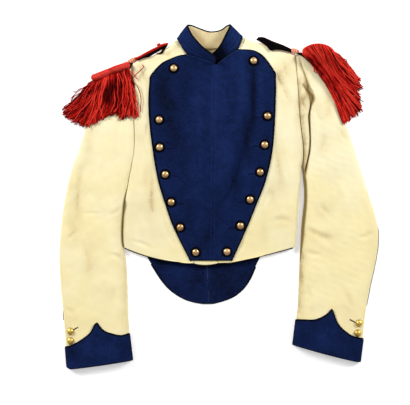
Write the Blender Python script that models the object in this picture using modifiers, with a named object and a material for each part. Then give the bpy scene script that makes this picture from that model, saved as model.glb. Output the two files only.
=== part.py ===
"""A lancer's short dress tunic, laid flat on its back with the collar towards +Y.

Cloth pieces are walls lofted through the garment's sections.  The back, the
under sleeves and the tails lie on the surface; the fronts and upper sleeves
arch over them and close on them at the side, shoulder and sleeve seams.
Plan positions are drafted in squares of 2 mm, counted from the top left corner
of the drafting sheet (x to the right, y down); heights are in millimetres.
"""
import math

import bmesh
import bpy
import numpy as np
from mathutils import Vector
from mathutils.bvhtree import BVHTree

# ---------------------------------------------------------------- sizes (mm)
MM = 0.001
SQUARE = 2.0                # one drafting square
SHEET_X, SHEET_Y = 218.9, 196.0   # the square that lies on the origin
GAP = 0.3                   # between pieces at a seam
CLOTH = 2.0                 # body cloth with its inner layers pressed together
COLLAR_CLOTH = 1.5
LINING = 1.0
PIPE_R = 1.0                # radius of the piping
CUFF_PIPE_R = 0.7
BODY_ROUND = 15.0           # how far the side and shoulder edges round over
SLEEVE_ROUND = 15.0
BUTTON_D, BUTTON_H = 16.0, 6.0
CUFF_BUTTON_D = 14.0
ROLL_R = 6.3                # wool roll of the epaulette
LOOP_R = 3.6
STRAP_T = 1.6

# Each front from the waist edge (row 0) up to the neck (row 12).  A section
# runs from the outer edge (side seam, armhole, shoulder seam) over the
# plastron's edge to the closing edge in the middle.
FRONT_HEAD = ("out_x", "out_y", "edge_x", "edge_y", "mid_y", "bow_out", "bow_in",
              "rim", "seam", "crown", "z_edge", "z_mid")
FRONT_LEFT = (
    (123.3, 247.3, 190.8, 262.9, 263.4, 3.7, 2.0, 2.3, 4.6, 8.0, 9.3, 9.8),    # waist edge
    (122.8, 245.0, 190.8, 260.7, 260.7, 3.2, 0.0, 2.3, 4.7, 8.3, 9.6, 10.1),   # foot of the plastron
    (121.9, 229.5, 175.2, 229.2, 231.0, 1.0, 0.0, 2.3, 5.0, 10.2, 11.8, 12.4),
    (123.7, 207.2, 167.1, 207.2, 207.5, 0.0, 0.0, 2.6, 5.4, 12.2, 14.2, 15.0),
    (128.5, 181.0, 159.1, 180.8, 181.0, 0.0, 0.0, 6.0, 7.8, 14.0, 16.4, 17.6),  # above the armpit
    (134.1, 151.0, 153.9, 151.5, 151.5, 0.0, 0.0, 8.6, 10.4, 15.0, 17.8, 19.4),
    (134.3, 122.0, 150.3, 122.0, 122.0, 0.0, 0.0, 9.2, 11.0, 15.4, 18.4, 20.6),
    (133.0, 98.7, 149.5, 98.7, 101.0, 0.0, 0.0, 8.4, 10.2, 14.6, 18.0, 21.2),
    (131.3, 64.0, 150.7, 77.0, 85.0, 0.0, 0.0, 2.3, 5.0, 10.6, 15.6, 21.6),    # shoulder point
    (139.5, 59.6, 156.6, 69.8, 79.0, 0.0, 0.0, 2.3, 5.0, 10.4, 14.6, 21.8),
    (153.0, 55.6, 164.5, 62.9, 74.0, 0.0, 0.0, 2.3, 5.0, 10.2, 13.6, 21.8),
    (165.0, 48.9, 177.0, 57.2, 69.6, 0.0, -0.4, 2.3, 5.0, 9.4, 13.8, 21.6),
    (176.0, 39.5, 187.2, 55.4, 65.8, 0.0, -0.8, 2.3, 4.4, 7.4, 15.4, 21.0),    # neck seam
)
FRONT_RIGHT = (
    (295.5, 247.0, 231.4, 261.9, 262.4, 0.9, 0.0, 2.3, 4.6, 8.0, 9.3, 9.8),
    (295.8, 244.7, 231.4, 260.7, 260.7, 0.8, 0.0, 2.3, 4.7, 8.3, 9.6, 10.1),
    (297.1, 230.0, 245.5, 229.2, 231.0, 0.3, 0.0, 2.3, 5.0, 10.2, 11.8, 12.4),
    (298.4, 207.0, 254.4, 207.2, 207.5, 0.0, 0.0, 2.3, 5.2, 12.2, 14.2, 15.0),
    (300.8, 181.0, 264.7, 180.8, 181.0, 0.0, 0.0, 2.3, 5.6, 14.0, 16.4, 17.6),
    (303.4, 151.0, 271.3, 151.5, 151.5, 0.0, 0.0, 8.0, 9.8, 15.0, 17.8, 19.4),
    (300.3, 122.0, 273.8, 122.0, 122.0, 0.0, 0.0, 9.2, 11.0, 15.4, 18.4, 20.6),
    (298.6, 98.7, 274.7, 98.7, 101.0, 0.0, 0.0, 8.4, 10.2, 14.6, 18.0, 21.2),
    (295.6, 56.0, 275.2, 74.5, 85.0, 0.0, 0.0, 2.3, 5.0, 10.6, 15.6, 21.6),
    (290.0, 52.6, 269.6, 65.9, 79.0, 0.0, 0.0, 2.3, 5.0, 10.4, 14.6, 21.8),
    (279.0, 50.0, 262.4, 57.8, 74.0, 0.0, 0.0, 2.3, 5.0, 10.2, 13.6, 21.8),
    (262.0, 44.0, 254.0, 51.4, 69.6, 0.0, -0.5, 2.3, 5.0, 9.4, 13.8, 21.6),
    (243.8, 36.8, 238.0, 50.4, 65.8, 0.0, -1.0, 2.3, 4.4, 7.4, 15.4, 21.0),
)
SHOULDER_ROW = 8
NECK_ROW = 12
CLOSING_HEAD = ("closing_x", "seam_x")       # closing edge of the fronts, seam of the plastron
CLOSING = tuple((217.6 - 0.1 * row, 212.0 + 0.27 * row) for row in range(NECK_ROW + 1))

# Sleeves from the shoulder point to the wrist.  "body" is the row of the
# front's outer edge that the fore edge of the sleeve is sewn to or lies along;
# -1 where the sleeve is clear of the body.
SLEEVE_HEAD = ("body", "in_x", "in_y", "out_x", "out_y", "crown", "fold", "dip", "lift")
SLEEVE_LEFT = (
    (8.00, 0, 0, 126.6, 65.3, 7.0, 0.3, 0.0, 0.0),
    (7.67, 0, 0, 117.0, 71.8, 9.0, 0.3, 0.0, 0.0),
    (7.33, 0, 0, 106.3, 82.6, 11.0, 0.3, 0.3, 0.0),
    (7.00, 0, 0, 98.6, 94.2, 12.2, 0.3, 0.8, 0.0),
    (6.50, 0, 0, 93.0, 105.8, 12.8, 0.3, 1.0, 0.0),
    (6.00, 0, 0, 88.6, 117.8, 13.2, 0.3, 1.0, 0.0),
    (5.50, 0, 0, 83.8, 133.0, 13.4, 0.3, 0.8, 0.0),
    (5.00, 0, 0, 78.6, 149.2, 13.4, 0.3, 0.5, 0.0),
    (4.50, 0, 0, 72.7, 165.0, 13.2, 0.3, 0.3, 0.0),
    (4.00, 0, 0, 68.2, 181.0, 13.0, 0.3, 0.0, 0.0),
    (3.50, 0, 0, 65.3, 194.0, 12.8, 0.3, 0.0, 0.0),
    (3.00, 0, 0, 63.0, 207.0, 12.6, 0.3, 0.0, 0.0),
    (2.50, 0, 0, 61.5, 219.0, 12.4, 0.3, 0.0, 0.0),
    (2.00, 0, 0, 60.4, 230.0, 12.2, 0.3, 0.0, 0.0),
    (1.00, 0, 0, 59.1, 247.0, 12.0, 0.3, 0.0, 0.0),      # level with the waist edge
    (-1, 125.7, 260.0, 58.9, 262.0, 12.0, 0.3, 0.0, 0.0),
    (-1, 126.9, 280.0, 59.8, 281.0, 12.0, 0.3, 0.0, 0.0),
    (-1, 127.5, 298.0, 61.4, 299.0, 12.0, 0.3, 0.0, 0.0),
    (-1, 127.9, 309.0, 62.6, 310.0, 12.2, 0.3, 0.0, 0.0),
    (-1, 128.2, 320.0, 63.6, 321.5, 13.0, 0.3, 0.0, 2.4),   # start of the cuff
    (-1, 129.0, 334.0, 64.9, 337.0, 13.6, 0.3, 0.0, 2.4),
    (-1, 130.7, 346.0, 65.6, 351.0, 13.6, 0.3, 0.0, 2.4),
    (-1, 132.1, 355.0, 66.3, 362.0, 13.4, 0.3, 0.0, 2.4),   # sleeve end, just inside the cuff
)
SLEEVE_RIGHT = (
    (8.00, 0, 0, 302.0, 55.9, 7.0, 0.30, 0.0, 0.0),
    (7.67, 0, 0, 316.0, 67.3, 9.5, 0.34, 1.0, 0.0),
    (7.33, 0, 0, 325.0, 78.5, 11.5, 0.38, 2.2, 0.0),
    (7.00, 0, 0, 332.3, 90.3, 12.8, 0.34, 3.0, 0.0),
    (6.50, 0, 0, 337.4, 101.5, 13.2, 0.27, 3.0, 0.0),
    (6.00, 0, 0, 341.7, 113.5, 13.6, 0.22, 2.8, 0.0),
    (5.50, 0, 0, 347.3, 127.3, 13.8, 0.19, 2.4, 0.0),
    (5.00, 0, 0, 353.3, 144.0, 13.6, 0.16, 1.8, 0.0),
    (4.50, 0, 0, 359.6, 164.0, 13.2, 0.14, 1.0, 0.0),
    (-1, 303.3, 178.0, 364.0, 178.5, 13.0, 0.14, 0.0, 0.0),
    (-1, 304.6, 190.0, 368.0, 190.5, 12.8, 0.2, 0.0, 0.0),
    (-1, 304.4, 202.0, 371.8, 202.5, 12.6, 0.2, 0.0, 0.0),
    (-1, 303.0, 213.0, 375.2, 213.5, 12.4, 0.2, 0.0, 0.0),
    (-1, 301.7, 226.0, 378.3, 227.0, 12.2, 0.2, 0.0, 0.0),
    (-1, 300.9, 240.0, 378.9, 241.0, 12.0, 0.2, 0.0, 0.0),
    (-1, 300.1, 255.0, 377.2, 256.0, 12.0, 0.2, 0.0, 0.0),
    (-1, 299.6, 270.0, 374.2, 271.0, 12.0, 0.2, 0.0, 0.0),
    (-1, 299.1, 284.0, 371.0, 285.0, 12.0, 0.2, 0.0, 0.0),
    (-1, 298.7, 296.0, 368.7, 297.0, 12.2, 0.2, 0.0, 0.0),
    (-1, 298.3, 306.0, 366.8, 307.5, 13.0, 0.2, 0.0, 2.4),
    (-1, 296.6, 319.0, 364.9, 322.0, 13.6, 0.2, 0.0, 2.4),
    (-1, 295.0, 331.0, 363.2, 339.0, 13.6, 0.2, 0.0, 2.4),
    (-1, 293.9, 341.0, 361.2, 356.5, 13.4, 0.2, 0.0, 2.4),
)

# Cuffs: the two rows that bound the cloth (start and wrist), and the height of
# its upper edge between them (0 start, 1 wrist) across the sleeve, fore to hind.
CUFF_LEFT = dict(start=(128.2, 320.0, 63.6, 321.5), wrist=(133.2, 359.2, 66.9, 368.2), bow=2.4)
CUFF_RIGHT = dict(start=(298.3, 306.0, 366.8, 307.5), wrist=(293.4, 344.9, 360.2, 362.6), bow=0.8)
CUFF_EDGE_LEFT = ((0.0, .34), (.13, .37), (.31, .29), (.40, .21), (.445, .13), (.475, .05),
                  (.515, .10), (.58, .25), (.65, .33), (.73, .40), (.82, .465), (.9, .505), (1.0, .54))
CUFF_EDGE_RIGHT = ((0.0, .355), (.11, .335), (.23, .32), (.325, .27), (.40, .20), (.455, .13), (.49, .05),
                   (.53, .16), (.58, .30), (.66, .42), (.80, .53), (.9, .56), (1.0, .57))

# Back: how far each row sags in the middle, at the waist edge and at the neck.
BACK_DIP_ROWS = (0, 1, 2, 4, 9, 11, 11.5, 12)
BACK_DIP = (9.0, 8.6, 3.0, 0.0, 0.0, 6.0, 9.0, 12.4)

# Tails: sections from the outer edge to the seam in the middle.
TAIL_HEAD = ("out_x", "out_y", "seam_x", "seam_y")
TAIL_LEFT = (
    (143.2, 252.6, 207.2, 258.4), (151.4, 265.4, 207.4, 267.5), (159.5, 277.9, 207.8, 279.5),
    (167.5, 287.7, 208.1, 289.0), (176.4, 294.8, 208.3, 295.6), (185.4, 299.6, 208.4, 299.9),
    (194.3, 302.3, 208.5, 302.6), (203.0, 303.8, 208.6, 304.0))
TAIL_RIGHT = (
    (262.4, 252.6, 207.4, 258.4), (256.0, 266.2, 207.6, 267.5), (250.5, 278.8, 208.0, 279.5),
    (243.4, 289.0, 208.3, 289.0), (235.0, 296.0, 208.5, 295.6), (227.0, 299.8, 208.6, 299.9),
    (219.0, 302.2, 208.7, 302.6), (213.0, 303.7, 208.8, 304.0))

# Stand collar from its left end, which lies over the right one, round the back.
COLLAR_HEAD = ("base_x", "base_y", "base_z", "top_x", "top_y", "top_z")
COLLAR = (
    (216.0, 65.1, 20.4, 216.0, 60.4, 42.0),
    (210.2, 62.8, 20.0, 210.6, 55.5, 41.0),
    (203.9, 59.9, 19.0, 204.6, 50.9, 39.0),
    (198.4, 57.9, 17.8, 199.9, 46.6, 36.0),
    (192.8, 55.9, 16.6, 195.7, 41.6, 32.5),
    (187.6, 53.8, 14.6, 191.8, 36.4, 28.0),
    (182.0, 46.4, 10.0, 189.0, 30.8, 22.0),
    (177.0, 39.2, 6.0, 187.1, 25.6, 15.0),       # left fold
    (177.3, 38.7, 2.4, 187.4, 24.8, 7.0),
    (182.5, 42.6, 0.6, 191.5, 25.0, 1.8),
    (192.5, 46.6, 0.2, 199.5, 28.1, 0.3),
    (207.5, 48.2, 0.2, 210.0, 31.4, 0.2),        # middle of the back
    (224.0, 46.6, 0.2, 220.6, 29.9, 0.3),
    (236.0, 41.4, 0.6, 226.9, 25.6, 1.6),
    (242.4, 36.6, 2.4, 230.0, 24.5, 7.0),
    (242.9, 37.0, 6.0, 230.8, 24.9, 15.0),       # right fold
    (240.2, 43.0, 10.0, 229.4, 29.2, 22.0),
    (236.9, 49.4, 14.2, 227.4, 33.4, 28.0),
    (231.9, 52.4, 17.0, 225.0, 38.4, 32.0),
    (227.8, 55.6, 18.6, 221.9, 44.7, 35.0),
    (223.6, 59.4, 19.2, 218.6, 49.8, 36.4),
    (218.4, 62.2, 18.6, 213.6, 54.8, 34.0),
    (213.6, 62.2, 17.0, 209.0, 57.2, 26.6),      # end tucked under
)

# Epaulettes: the strap's near and far edge, the middle line of the loop and
# the roll, and the fringe, whose rows run from the roll to the tips.
STRAP_HEAD = ("near_x", "near_y", "far_x", "far_y", "z")
STRAP_LEFT = ((137.2, 58.6, 135.6, 55.6, 11.0), (144.0, 56.6, 143.0, 53.0, 9.0), (151.0, 53.9, 150.0, 49.7, 7.5),
              (158.5, 50.3, 158.0, 45.4, 6.0), (166.8, 44.7, 165.6, 42.2, 5.0))
STRAP_RIGHT = ((257.4, 39.4, 260.4, 35.8, 5.0), (262.6, 42.6, 264.6, 37.0, 6.0), (270.0, 47.1, 273.5, 40.4, 7.5),
               (281.0, 49.2, 282.5, 43.8, 9.5), (290.4, 50.9, 291.6, 47.2, 11.0))
LOOP_LEFT = ((135.4, 58.6), (132.4, 60.4), (129.8, 62.2))
LOOP_RIGHT = ((295.0, 47.6), (295.4, 50.6), (296.6, 53.8))
ROLL_LEFT = ((128.6, 65.4), (122.5, 67.0), (116.5, 68.9), (110.5, 71.0), (104.5, 73.2), (99.0, 75.6), (94.4, 78.4))
ROLL_RIGHT = ((303.6, 53.4), (307.4, 49.6), (312.4, 47.2), (318.4, 46.4), (324.4, 47.3), (329.4, 49.8), (333.6, 54.6))
FRINGE_HEAD = ("root_x", "root_y", "half_x", "half_y", "tip_x", "tip_y")
FRINGE_LEFT = (
    (90.2, 82.6, 76.0, 94.0, 61.6, 108.6), (96.6, 81.8, 80.0, 98.0, 66.8, 118.4),
    (101.8, 79.4, 89.0, 100.0, 79.6, 126.4), (107.0, 77.3, 97.5, 99.0, 92.6, 124.6),
    (112.2, 75.4, 106.0, 95.0, 103.8, 117.8), (117.6, 73.6, 115.0, 92.0, 115.6, 113.6),
    (123.2, 71.9, 123.5, 92.0, 125.0, 118.6), (128.8, 70.4, 134.0, 92.0, 137.6, 115.6))
FRINGE_RIGHT = (
    (305.4, 57.6, 321.5, 75.0, 344.4, 120.0), (310.0, 53.9, 329.5, 75.0, 350.4, 117.6),
    (315.0, 51.4, 335.5, 72.5, 356.6, 111.4), (320.0, 50.8, 341.5, 71.5, 361.6, 104.0),
    (325.0, 52.2, 344.5, 70.0, 361.0, 95.0), (329.2, 55.0, 346.5, 68.5, 363.4, 88.0),
    (332.6, 58.0, 347.5, 66.5, 361.0, 80.4), (336.9, 59.4, 346.0, 63.8, 355.0, 73.0))

PLASTRON_BUTTONS_LEFT = ((173.9, 68.9), (159.4, 120.1), (159.8, 147.5), (165.4, 174.5),
                         (171.4, 202.1), (180.3, 227.3), (195.7, 252.3))
PLASTRON_BUTTONS_RIGHT = ((253.4, 61.3), (267.2, 116.4), (264.4, 145.0), (260.0, 172.2),
                          (249.9, 199.6), (240.3, 225.7), (226.9, 251.8))
SLEEVE_BUTTONS_LEFT = ((70.2, 330.2), (70.6, 339.4))
SLEEVE_BUTTONS_RIGHT = ((358.8, 322.2), (358.0, 331.4))

# ------------------------------------------------------------------ colours
WHITE_WOOL = (0.86, 0.79, 0.56, 1)
BLUE_CLOTH = (0.008, 0.017, 0.085, 1)
BLACK_CLOTH = (0.006, 0.006, 0.012, 1)
CREAM_LINEN = (0.62, 0.50, 0.31, 1)
RED_WOOL = (0.50, 0.015, 0.012, 1)
ROSE_WOOL = (0.72, 0.14, 0.09, 1)
BRASS = (0.72, 0.47, 0.20, 1)
GOLD_BRASS = (0.80, 0.58, 0.18, 1)


# ------------------------------------------------------------ table reading
def at(table, head, name, row, corners=()):
    """A column's value at a row, smooth between rows; a corner row keeps its angle."""
    k = head.index(name)
    last = len(table) - 1
    i = max(0, min(int(math.floor(row)), last - 1))
    f = row - i

    def slope(j, ahead):
        if j == 0 or (j in corners and ahead):
            return table[j + 1][k] - table[j][k]
        if j == last or j in corners:
            return table[j][k] - table[j - 1][k]
        return 0.5 * (table[j + 1][k] - table[j - 1][k])

    p0, p1 = table[i][k], table[i + 1][k]
    m0, m1 = slope(i, True), slope(i + 1, False)
    return ((2 * f ** 3 - 3 * f ** 2 + 1) * p0 + (f ** 3 - 2 * f ** 2 + f) * m0
            + (3 * f ** 2 - 2 * f ** 3) * p1 + (f ** 3 - f ** 2) * m1)


def plan(x, y):
    """Drafting squares to millimetres."""
    return np.array([(x - SHEET_X) * SQUARE, (SHEET_Y - y) * SQUARE])


def quarter(t):
    """Quarter-round rise from 0 at a seam to 1."""
    t = min(max(t, 0.0), 1.0)
    return math.sqrt(1.0 - (1.0 - t) ** 2)


# ------------------------------------------------------------------- fronts
def out_edge(table, row):
    return plan(at(table, FRONT_HEAD, "out_x", row, (SHOULDER_ROW,)),
                at(table, FRONT_HEAD, "out_y", row, (SHOULDER_ROW,)))


def front_grid(table, rows, side, round_steps=(0.0, 0.16, 0.45, 1.0), flat_steps=2, in_steps=4):
    """Top face of one front: rows of points from the outer edge to the closing edge.
    The first point of a row is the turned-in rim of the seam."""
    grid = []
    for row in rows:
        col = lambda name: at(table, FRONT_HEAD, name, row, (SHOULDER_ROW,))
        a = out_edge(table, row)
        b = plan(col("edge_x"), col("edge_y"))
        closing = at(CLOSING, CLOSING_HEAD, "closing_x", row)
        seam = at(CLOSING, CLOSING_HEAD, "seam_x", row)
        c = plan(closing + (0.0 if side < 0 else GAP / SQUARE), col("mid_y"))
        reach = float(np.linalg.norm(b - a))
        turn = min(BODY_ROUND, 0.7 * reach)
        steps = [s * turn for s in round_steps]
        steps += [turn + (reach - turn) * k / flat_steps for k in range(1, flat_steps + 1)]
        points = [(a[0], a[1], max(2.3, col("rim")))]
        for d in steps:
            w = d / reach
            level = col("crown") + (col("z_edge") - col("crown")) * max(0.0, (d - turn) / (reach - turn))
            z = col("seam") + (level - col("seam")) * quarter(d / turn)
            p = a + (b - a) * w
            points.append((p[0], p[1] - col("bow_out") * SQUARE * 4 * w * (1 - w), z))
        stops = [k / in_steps for k in range(1, in_steps + 1)]
        if side < 0:                      # the plastron's seam is one of this front's lines
            s = plan(seam, 0)[0]
            stops[-2] = (s - b[0]) / (c[0] - b[0])
            stops[:-2] = [stops[-2] * k / (in_steps - 1) for k in range(1, in_steps - 1)]
        for w in stops:
            p = b + (c - b) * w
            z = col("z_edge") + (col("z_mid") - col("z_edge")) * w * (2 - w)
            points.append((p[0], p[1] - col("bow_in") * SQUARE * 4 * w * (1 - w), z))
        grid.append(points)
    return np.array(grid)


def edge_column(grid, in_steps=4):
    """Number of the column that runs along the plastron's edge."""
    return grid.shape[1] - 1 - in_steps


def normals(grid):
    """Unit normals at the points of a grid, pointing up on average."""
    du = np.gradient(grid, axis=1)
    dv = np.gradient(grid, axis=0)
    n = np.cross(du, dv)
    n /= np.maximum(np.linalg.norm(n, axis=2, keepdims=True), 1e-9)
    if n[:, :, 2].mean() < 0:
        n = -n
    return n


# ------------------------------------------------------------------ sleeves
def sleeve_edges(table, body, row, side):
    """Fore and hind edge of a sleeve at a row, with the fore seam's rim and height."""
    last = max(i for i, r in enumerate(table) if r[0] >= 0)
    col = lambda name: at(table, SLEEVE_HEAD, name, row)

    def sewn(r):
        i = min(int(r), last - 1)
        b = table[i][0] + (table[i + 1][0] - table[i][0]) * (r - i)
        p = out_edge(body, b)
        f = lambda name: at(body, FRONT_HEAD, name, b, (SHOULDER_ROW,))
        return np.array([p[0] + side * 0.4, p[1]]), max(2.3, f("rim")), f("seam")

    def free(r):
        i = min(max(int(r), last + 1), len(table) - 2)
        f = r - i
        p = [table[i][k] + (table[i + 1][k] - table[i][k]) * f for k in (1, 2)]
        return plan(*p), 2.3, 5.0

    if row <= last:
        p, rim, seam = sewn(row)
    elif row >= last + 1:
        p, rim, seam = free(row)
    else:
        f = row - last
        (p0, r0, s0), (p1, r1, s1) = sewn(last), free(last + 1)
        p, rim, seam = p0 + (p1 - p0) * f, r0 + (r1 - r0) * f, s0 + (s1 - s0) * f
    return p, plan(col("out_x"), col("out_y")), rim, seam


def sleeve_grid(table, body, rows, side, round_steps=(0.0, 0.16, 0.45, 1.0)):
    """Top face of an upper sleeve, rows of points from the fore to the hind edge."""
    grid = []
    for row in rows:
        col = lambda name: at(table, SLEEVE_HEAD, name, row)
        a, b, rim, seam = sleeve_edges(table, body, row, side)
        width = float(np.linalg.norm(b - a))
        turn = min(SLEEVE_ROUND, 0.36 * width)
        lift = max(0.0, col("lift"))
        fold = width * col("fold")
        near = [s * turn for s in round_steps]
        flat = [turn + (width - 2 * turn) * w for w in (0.2, 0.5, 0.8)]
        steps = near + flat + [width - d for d in reversed(near)]
        points = [(a[0], a[1], rim + lift)]
        for d in steps:
            w = d / width
            crown = col("crown") + 0.6 * math.sin(math.pi * w)
            crown -= col("dip") * math.exp(-((d - fold) / 7.0) ** 2)
            low = seam + lift if d < width / 2 else 5.0 + lift
            rise = quarter(min(d, width - d) / turn)
            p = a + (b - a) * w
            points.append((p[0], p[1], low + (crown - low) * rise))
        points.append((b[0], b[1], 2.3 + lift))
        grid.append(points)
    return np.array(grid)


# ------------------------------------------------------------ making meshes
def add_object(name, mesh, material, collection):
    obj = bpy.data.objects.new(name, mesh)
    collection.objects.link(obj)
    mesh.materials.append(material)
    return obj


def grid_mesh(name, grid, ring=False):
    """An open surface through a grid of points, facing up (or outwards, as a ring)."""
    rows, cols = grid.shape[:2]
    bm = bmesh.new()
    verts = [[bm.verts.new(tuple(float(v) * MM for v in grid[i, j])) for j in range(cols)] for i in range(rows)]
    for i in range(rows - 1):
        for j in range(cols if ring else cols - 1):
            k = (j + 1) % cols
            bm.faces.new((verts[i][j], verts[i][k], verts[i + 1][k], verts[i + 1][j]))
    bm.normal_update()
    if ring:
        centre = Vector(tuple(float(v) * MM for v in grid.reshape(-1, 3).mean(axis=0)))
        facing = sum(f.normal.dot(f.calc_center_median() - centre) * f.calc_area() for f in bm.faces)
    else:
        facing = sum(f.normal.z * f.calc_area() for f in bm.faces)
    if facing < 0:
        bmesh.ops.reverse_faces(bm, faces=bm.faces)
    mesh = bpy.data.meshes.new(name)
    bm.to_mesh(mesh)
    bm.free()
    mesh.shade_smooth()
    return mesh


def shell(name, grid, thickness, material, collection, side=-1.0, ring=False, even=False):
    """A cloth wall: the surface through a grid, given its thickness."""
    obj = add_object(name, grid_mesh(name, grid, ring), material, collection)
    mod = obj.modifiers.new("cloth", "SOLIDIFY")
    mod.thickness = thickness * MM
    mod.offset = side
    mod.use_even_offset = even
    return obj


def slab(name, top, bottom, material, collection):
    """A closed solid between two grids that share their outline in plan."""
    rows, cols = top.shape[:2]
    bm = bmesh.new()
    place = lambda g: [[bm.verts.new(tuple(float(v) * MM for v in g[i, j])) for j in range(cols)] for i in range(rows)]
    up, low = place(top), place(bottom)
    for i in range(rows - 1):
        for j in range(cols - 1):
            bm.faces.new((up[i][j], up[i][j + 1], up[i + 1][j + 1], up[i + 1][j]))
            bm.faces.new((low[i][j], low[i + 1][j], low[i + 1][j + 1], low[i][j + 1]))
    rim = [(0, j) for j in range(cols - 1)] + [(i, cols - 1) for i in range(rows - 1)]
    rim += [(rows - 1, j) for j in range(cols - 1, 0, -1)] + [(i, 0) for i in range(rows - 1, 0, -1)]
    for (i, j), (k, m) in zip(rim, rim[1:] + rim[:1]):
        bm.faces.new((up[i][j], low[i][j], low[k][m], up[k][m]))
    bmesh.ops.recalc_face_normals(bm, faces=bm.faces)
    mesh = bpy.data.meshes.new(name)
    bm.to_mesh(mesh)
    bm.free()
    return add_object(name, mesh, material, collection)


def tube(name, points, radius, material, collection, resolution=1):
    """A piping cord, roll or loop along its middle line (mm)."""
    curve = bpy.data.curves.new(name, "CURVE")
    curve.dimensions = "3D"
    curve.bevel_depth = radius * MM
    curve.bevel_resolution = resolution
    curve.use_fill_caps = True
    spline = curve.splines.new("POLY")
    spline.points.add(len(points) - 1)
    for point, p in zip(spline.points, points):
        point.co = (float(p[0]) * MM, float(p[1]) * MM, float(p[2]) * MM, 1.0)
    obj = bpy.data.objects.new(name, curve)
    collection.objects.link(obj)
    curve.materials.append(material)
    return obj


def cloth_material(name, colour, roughness=0.9, metallic=0.0):
    mat = bpy.data.materials.new(name)
    mat.use_nodes = True
    node = next(n for n in mat.node_tree.nodes if n.type == "BSDF_PRINCIPLED")
    node.inputs["Base Color"].default_value = colour
    node.inputs["Roughness"].default_value = roughness
    node.inputs["Metallic"].default_value = metallic
    mat.diffuse_color = colour
    return mat


def material_for(name):
    rules = (("lining", BLACK_CLOTH if "strap" in name else CREAM_LINEN), ("piping", BLACK_CLOTH),
             ("plastron_button", BRASS), ("sleeve_button", GOLD_BRASS), ("loop", ROSE_WOOL),
             ("epaulette", RED_WOOL), ("plastron", BLUE_CLOTH), ("collar", BLUE_CLOTH),
             ("cuff", BLUE_CLOTH), ("tail", BLUE_CLOTH))
    colour = next((c for key, c in rules if key in name), WHITE_WOOL)
    metal = "button" in name
    return cloth_material(name, colour, 0.35 if metal else 0.9, 1.0 if metal else 0.0)


# --------------------------------------------------------- what lies beneath
class Ground:
    """Height and slope of the cloth that is already laid out, at a plan position."""

    def __init__(self, grids):
        verts, faces = [], []
        for grid in grids:
            rows, cols = grid.shape[:2]
            base = len(verts)
            verts += [Vector([float(v) for v in p]) for p in grid.reshape(-1, 3)]
            for i in range(rows - 1):
                for j in range(cols - 1):
                    a = base + i * cols + j
                    faces.append((a, a + 1, a + cols + 1, a + cols))
        self.tree = BVHTree.FromPolygons(verts, faces)

    def hit(self, x, y):
        place, normal, _, _ = self.tree.ray_cast(Vector((x, y, 500.0)), Vector((0, 0, -1)))
        if place is None:
            return 0.0, Vector((0, 0, 1))
        return place.z, (normal if normal.z > 0 else -normal)

    def top(self, x, y, around=0.0):
        """Highest level within a distance of the place."""
        spots = [(x, y)]
        if around:
            spots += [(x + around * math.cos(a), y + around * math.sin(a))
                      for a in (k * math.pi / 4 for k in range(8))]
        return max(self.hit(*s)[0] for s in spots)


def line_between(table, count):
    """Smooth points along a short table of plan positions."""
    head = ("x", "y")
    last = len(table) - 1
    return [plan(at(table, head, "x", last * k / (count - 1)), at(table, head, "y", last * k / (count - 1)))
            for k in range(count)]


# ------------------------------------------------------------------- pieces
FRONT_ROWS = (0, 1, 1.5, 2, 2.5, 3, 3.5, 4, 4.5, 5, 5.5, 6, 6.5, 7, 7.33, 7.67, 8, 9, 10, 11, 11.5, 12)


def plastron_grids(left, right, edge):
    """The two plastron halves, from the fronts' own points moved out."""
    n_left, n_right = normals(left), normals(right)
    both = np.concatenate([left[:, edge:], right[:, edge:-1][:, ::-1]], axis=1)
    lift = np.concatenate([n_left[:, edge:], n_right[:, edge:-1][:, ::-1]], axis=1)
    seam = both.shape[1] // 2 - 1
    out = both[1:] + lift[1:] * GAP
    near, far = out[:, :seam + 1].copy(), out[:, seam:].copy()
    near[:, -1, 0] -= GAP / 2
    far[:, 0, 0] += GAP / 2
    return near, far


def cuff_ring(sleeve, body, side, cuff, edge, rows=6):
    """Inner face of a cuff: a ring round the sleeve's end, its upper edge pointed."""
    start, wrist = cuff["start"], cuff["wrist"]
    a0, b0 = plan(*start[:2]), plan(*start[2:])
    a1, b1 = plan(*wrist[:2]), plan(*wrist[2:])
    width = float(np.linalg.norm(b0 - a0))
    turn = min(SLEEVE_ROUND, 0.36 * width)
    near = [s * turn / width for s in (0.0, 0.16, 0.45, 1.0)]
    upper = sorted(near + [1 - w for w in near]
                   + [w for w, _ in edge if turn / width + 0.02 < w < 1 - turn / width - 0.02])
    # round the ring: over the top from fore to hind, then back underneath
    ring = [(w, "top") for w in upper] + [(1.0, "under"), (0.8, "under"), (0.5, "under"), (0.2, "under"), (0.0, "under")]
    crown = 14.2
    grid = []
    for i in range(rows):
        points = []
        for w, part in ring:
            if part == "top":
                s0 = np.interp(w, [e[0] for e in edge], [e[1] for e in edge])
            else:
                s0 = edge[0][1] + (edge[-1][1] - edge[0][1]) * w
            s = s0 + (1 - s0) * i / (rows - 1)
            a, b = a0 + (a1 - a0) * s, b0 + (b1 - b0) * s
            p = a + (b - a) * w
            sideways = (b - a) / np.linalg.norm(b - a)
            y = p[1] - cuff["bow"] * SQUARE * s * 4 * w * (1 - w)
            push = -0.8 if w == 0.0 else (0.8 if w == 1.0 else 0.0)
            x, y = p[0] + sideways[0] * push, y + sideways[1] * push
            d = min(w, 1 - w) * width
            if part == "top":
                low = 8.2
                z = low + (crown + 0.6 * math.sin(math.pi * w) + 0.5 - low) * quarter(d / turn)
            else:
                z = CLOTH + 0.08
            points.append((x, y, z))
        grid.append(points)
    return np.array(grid)


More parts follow.
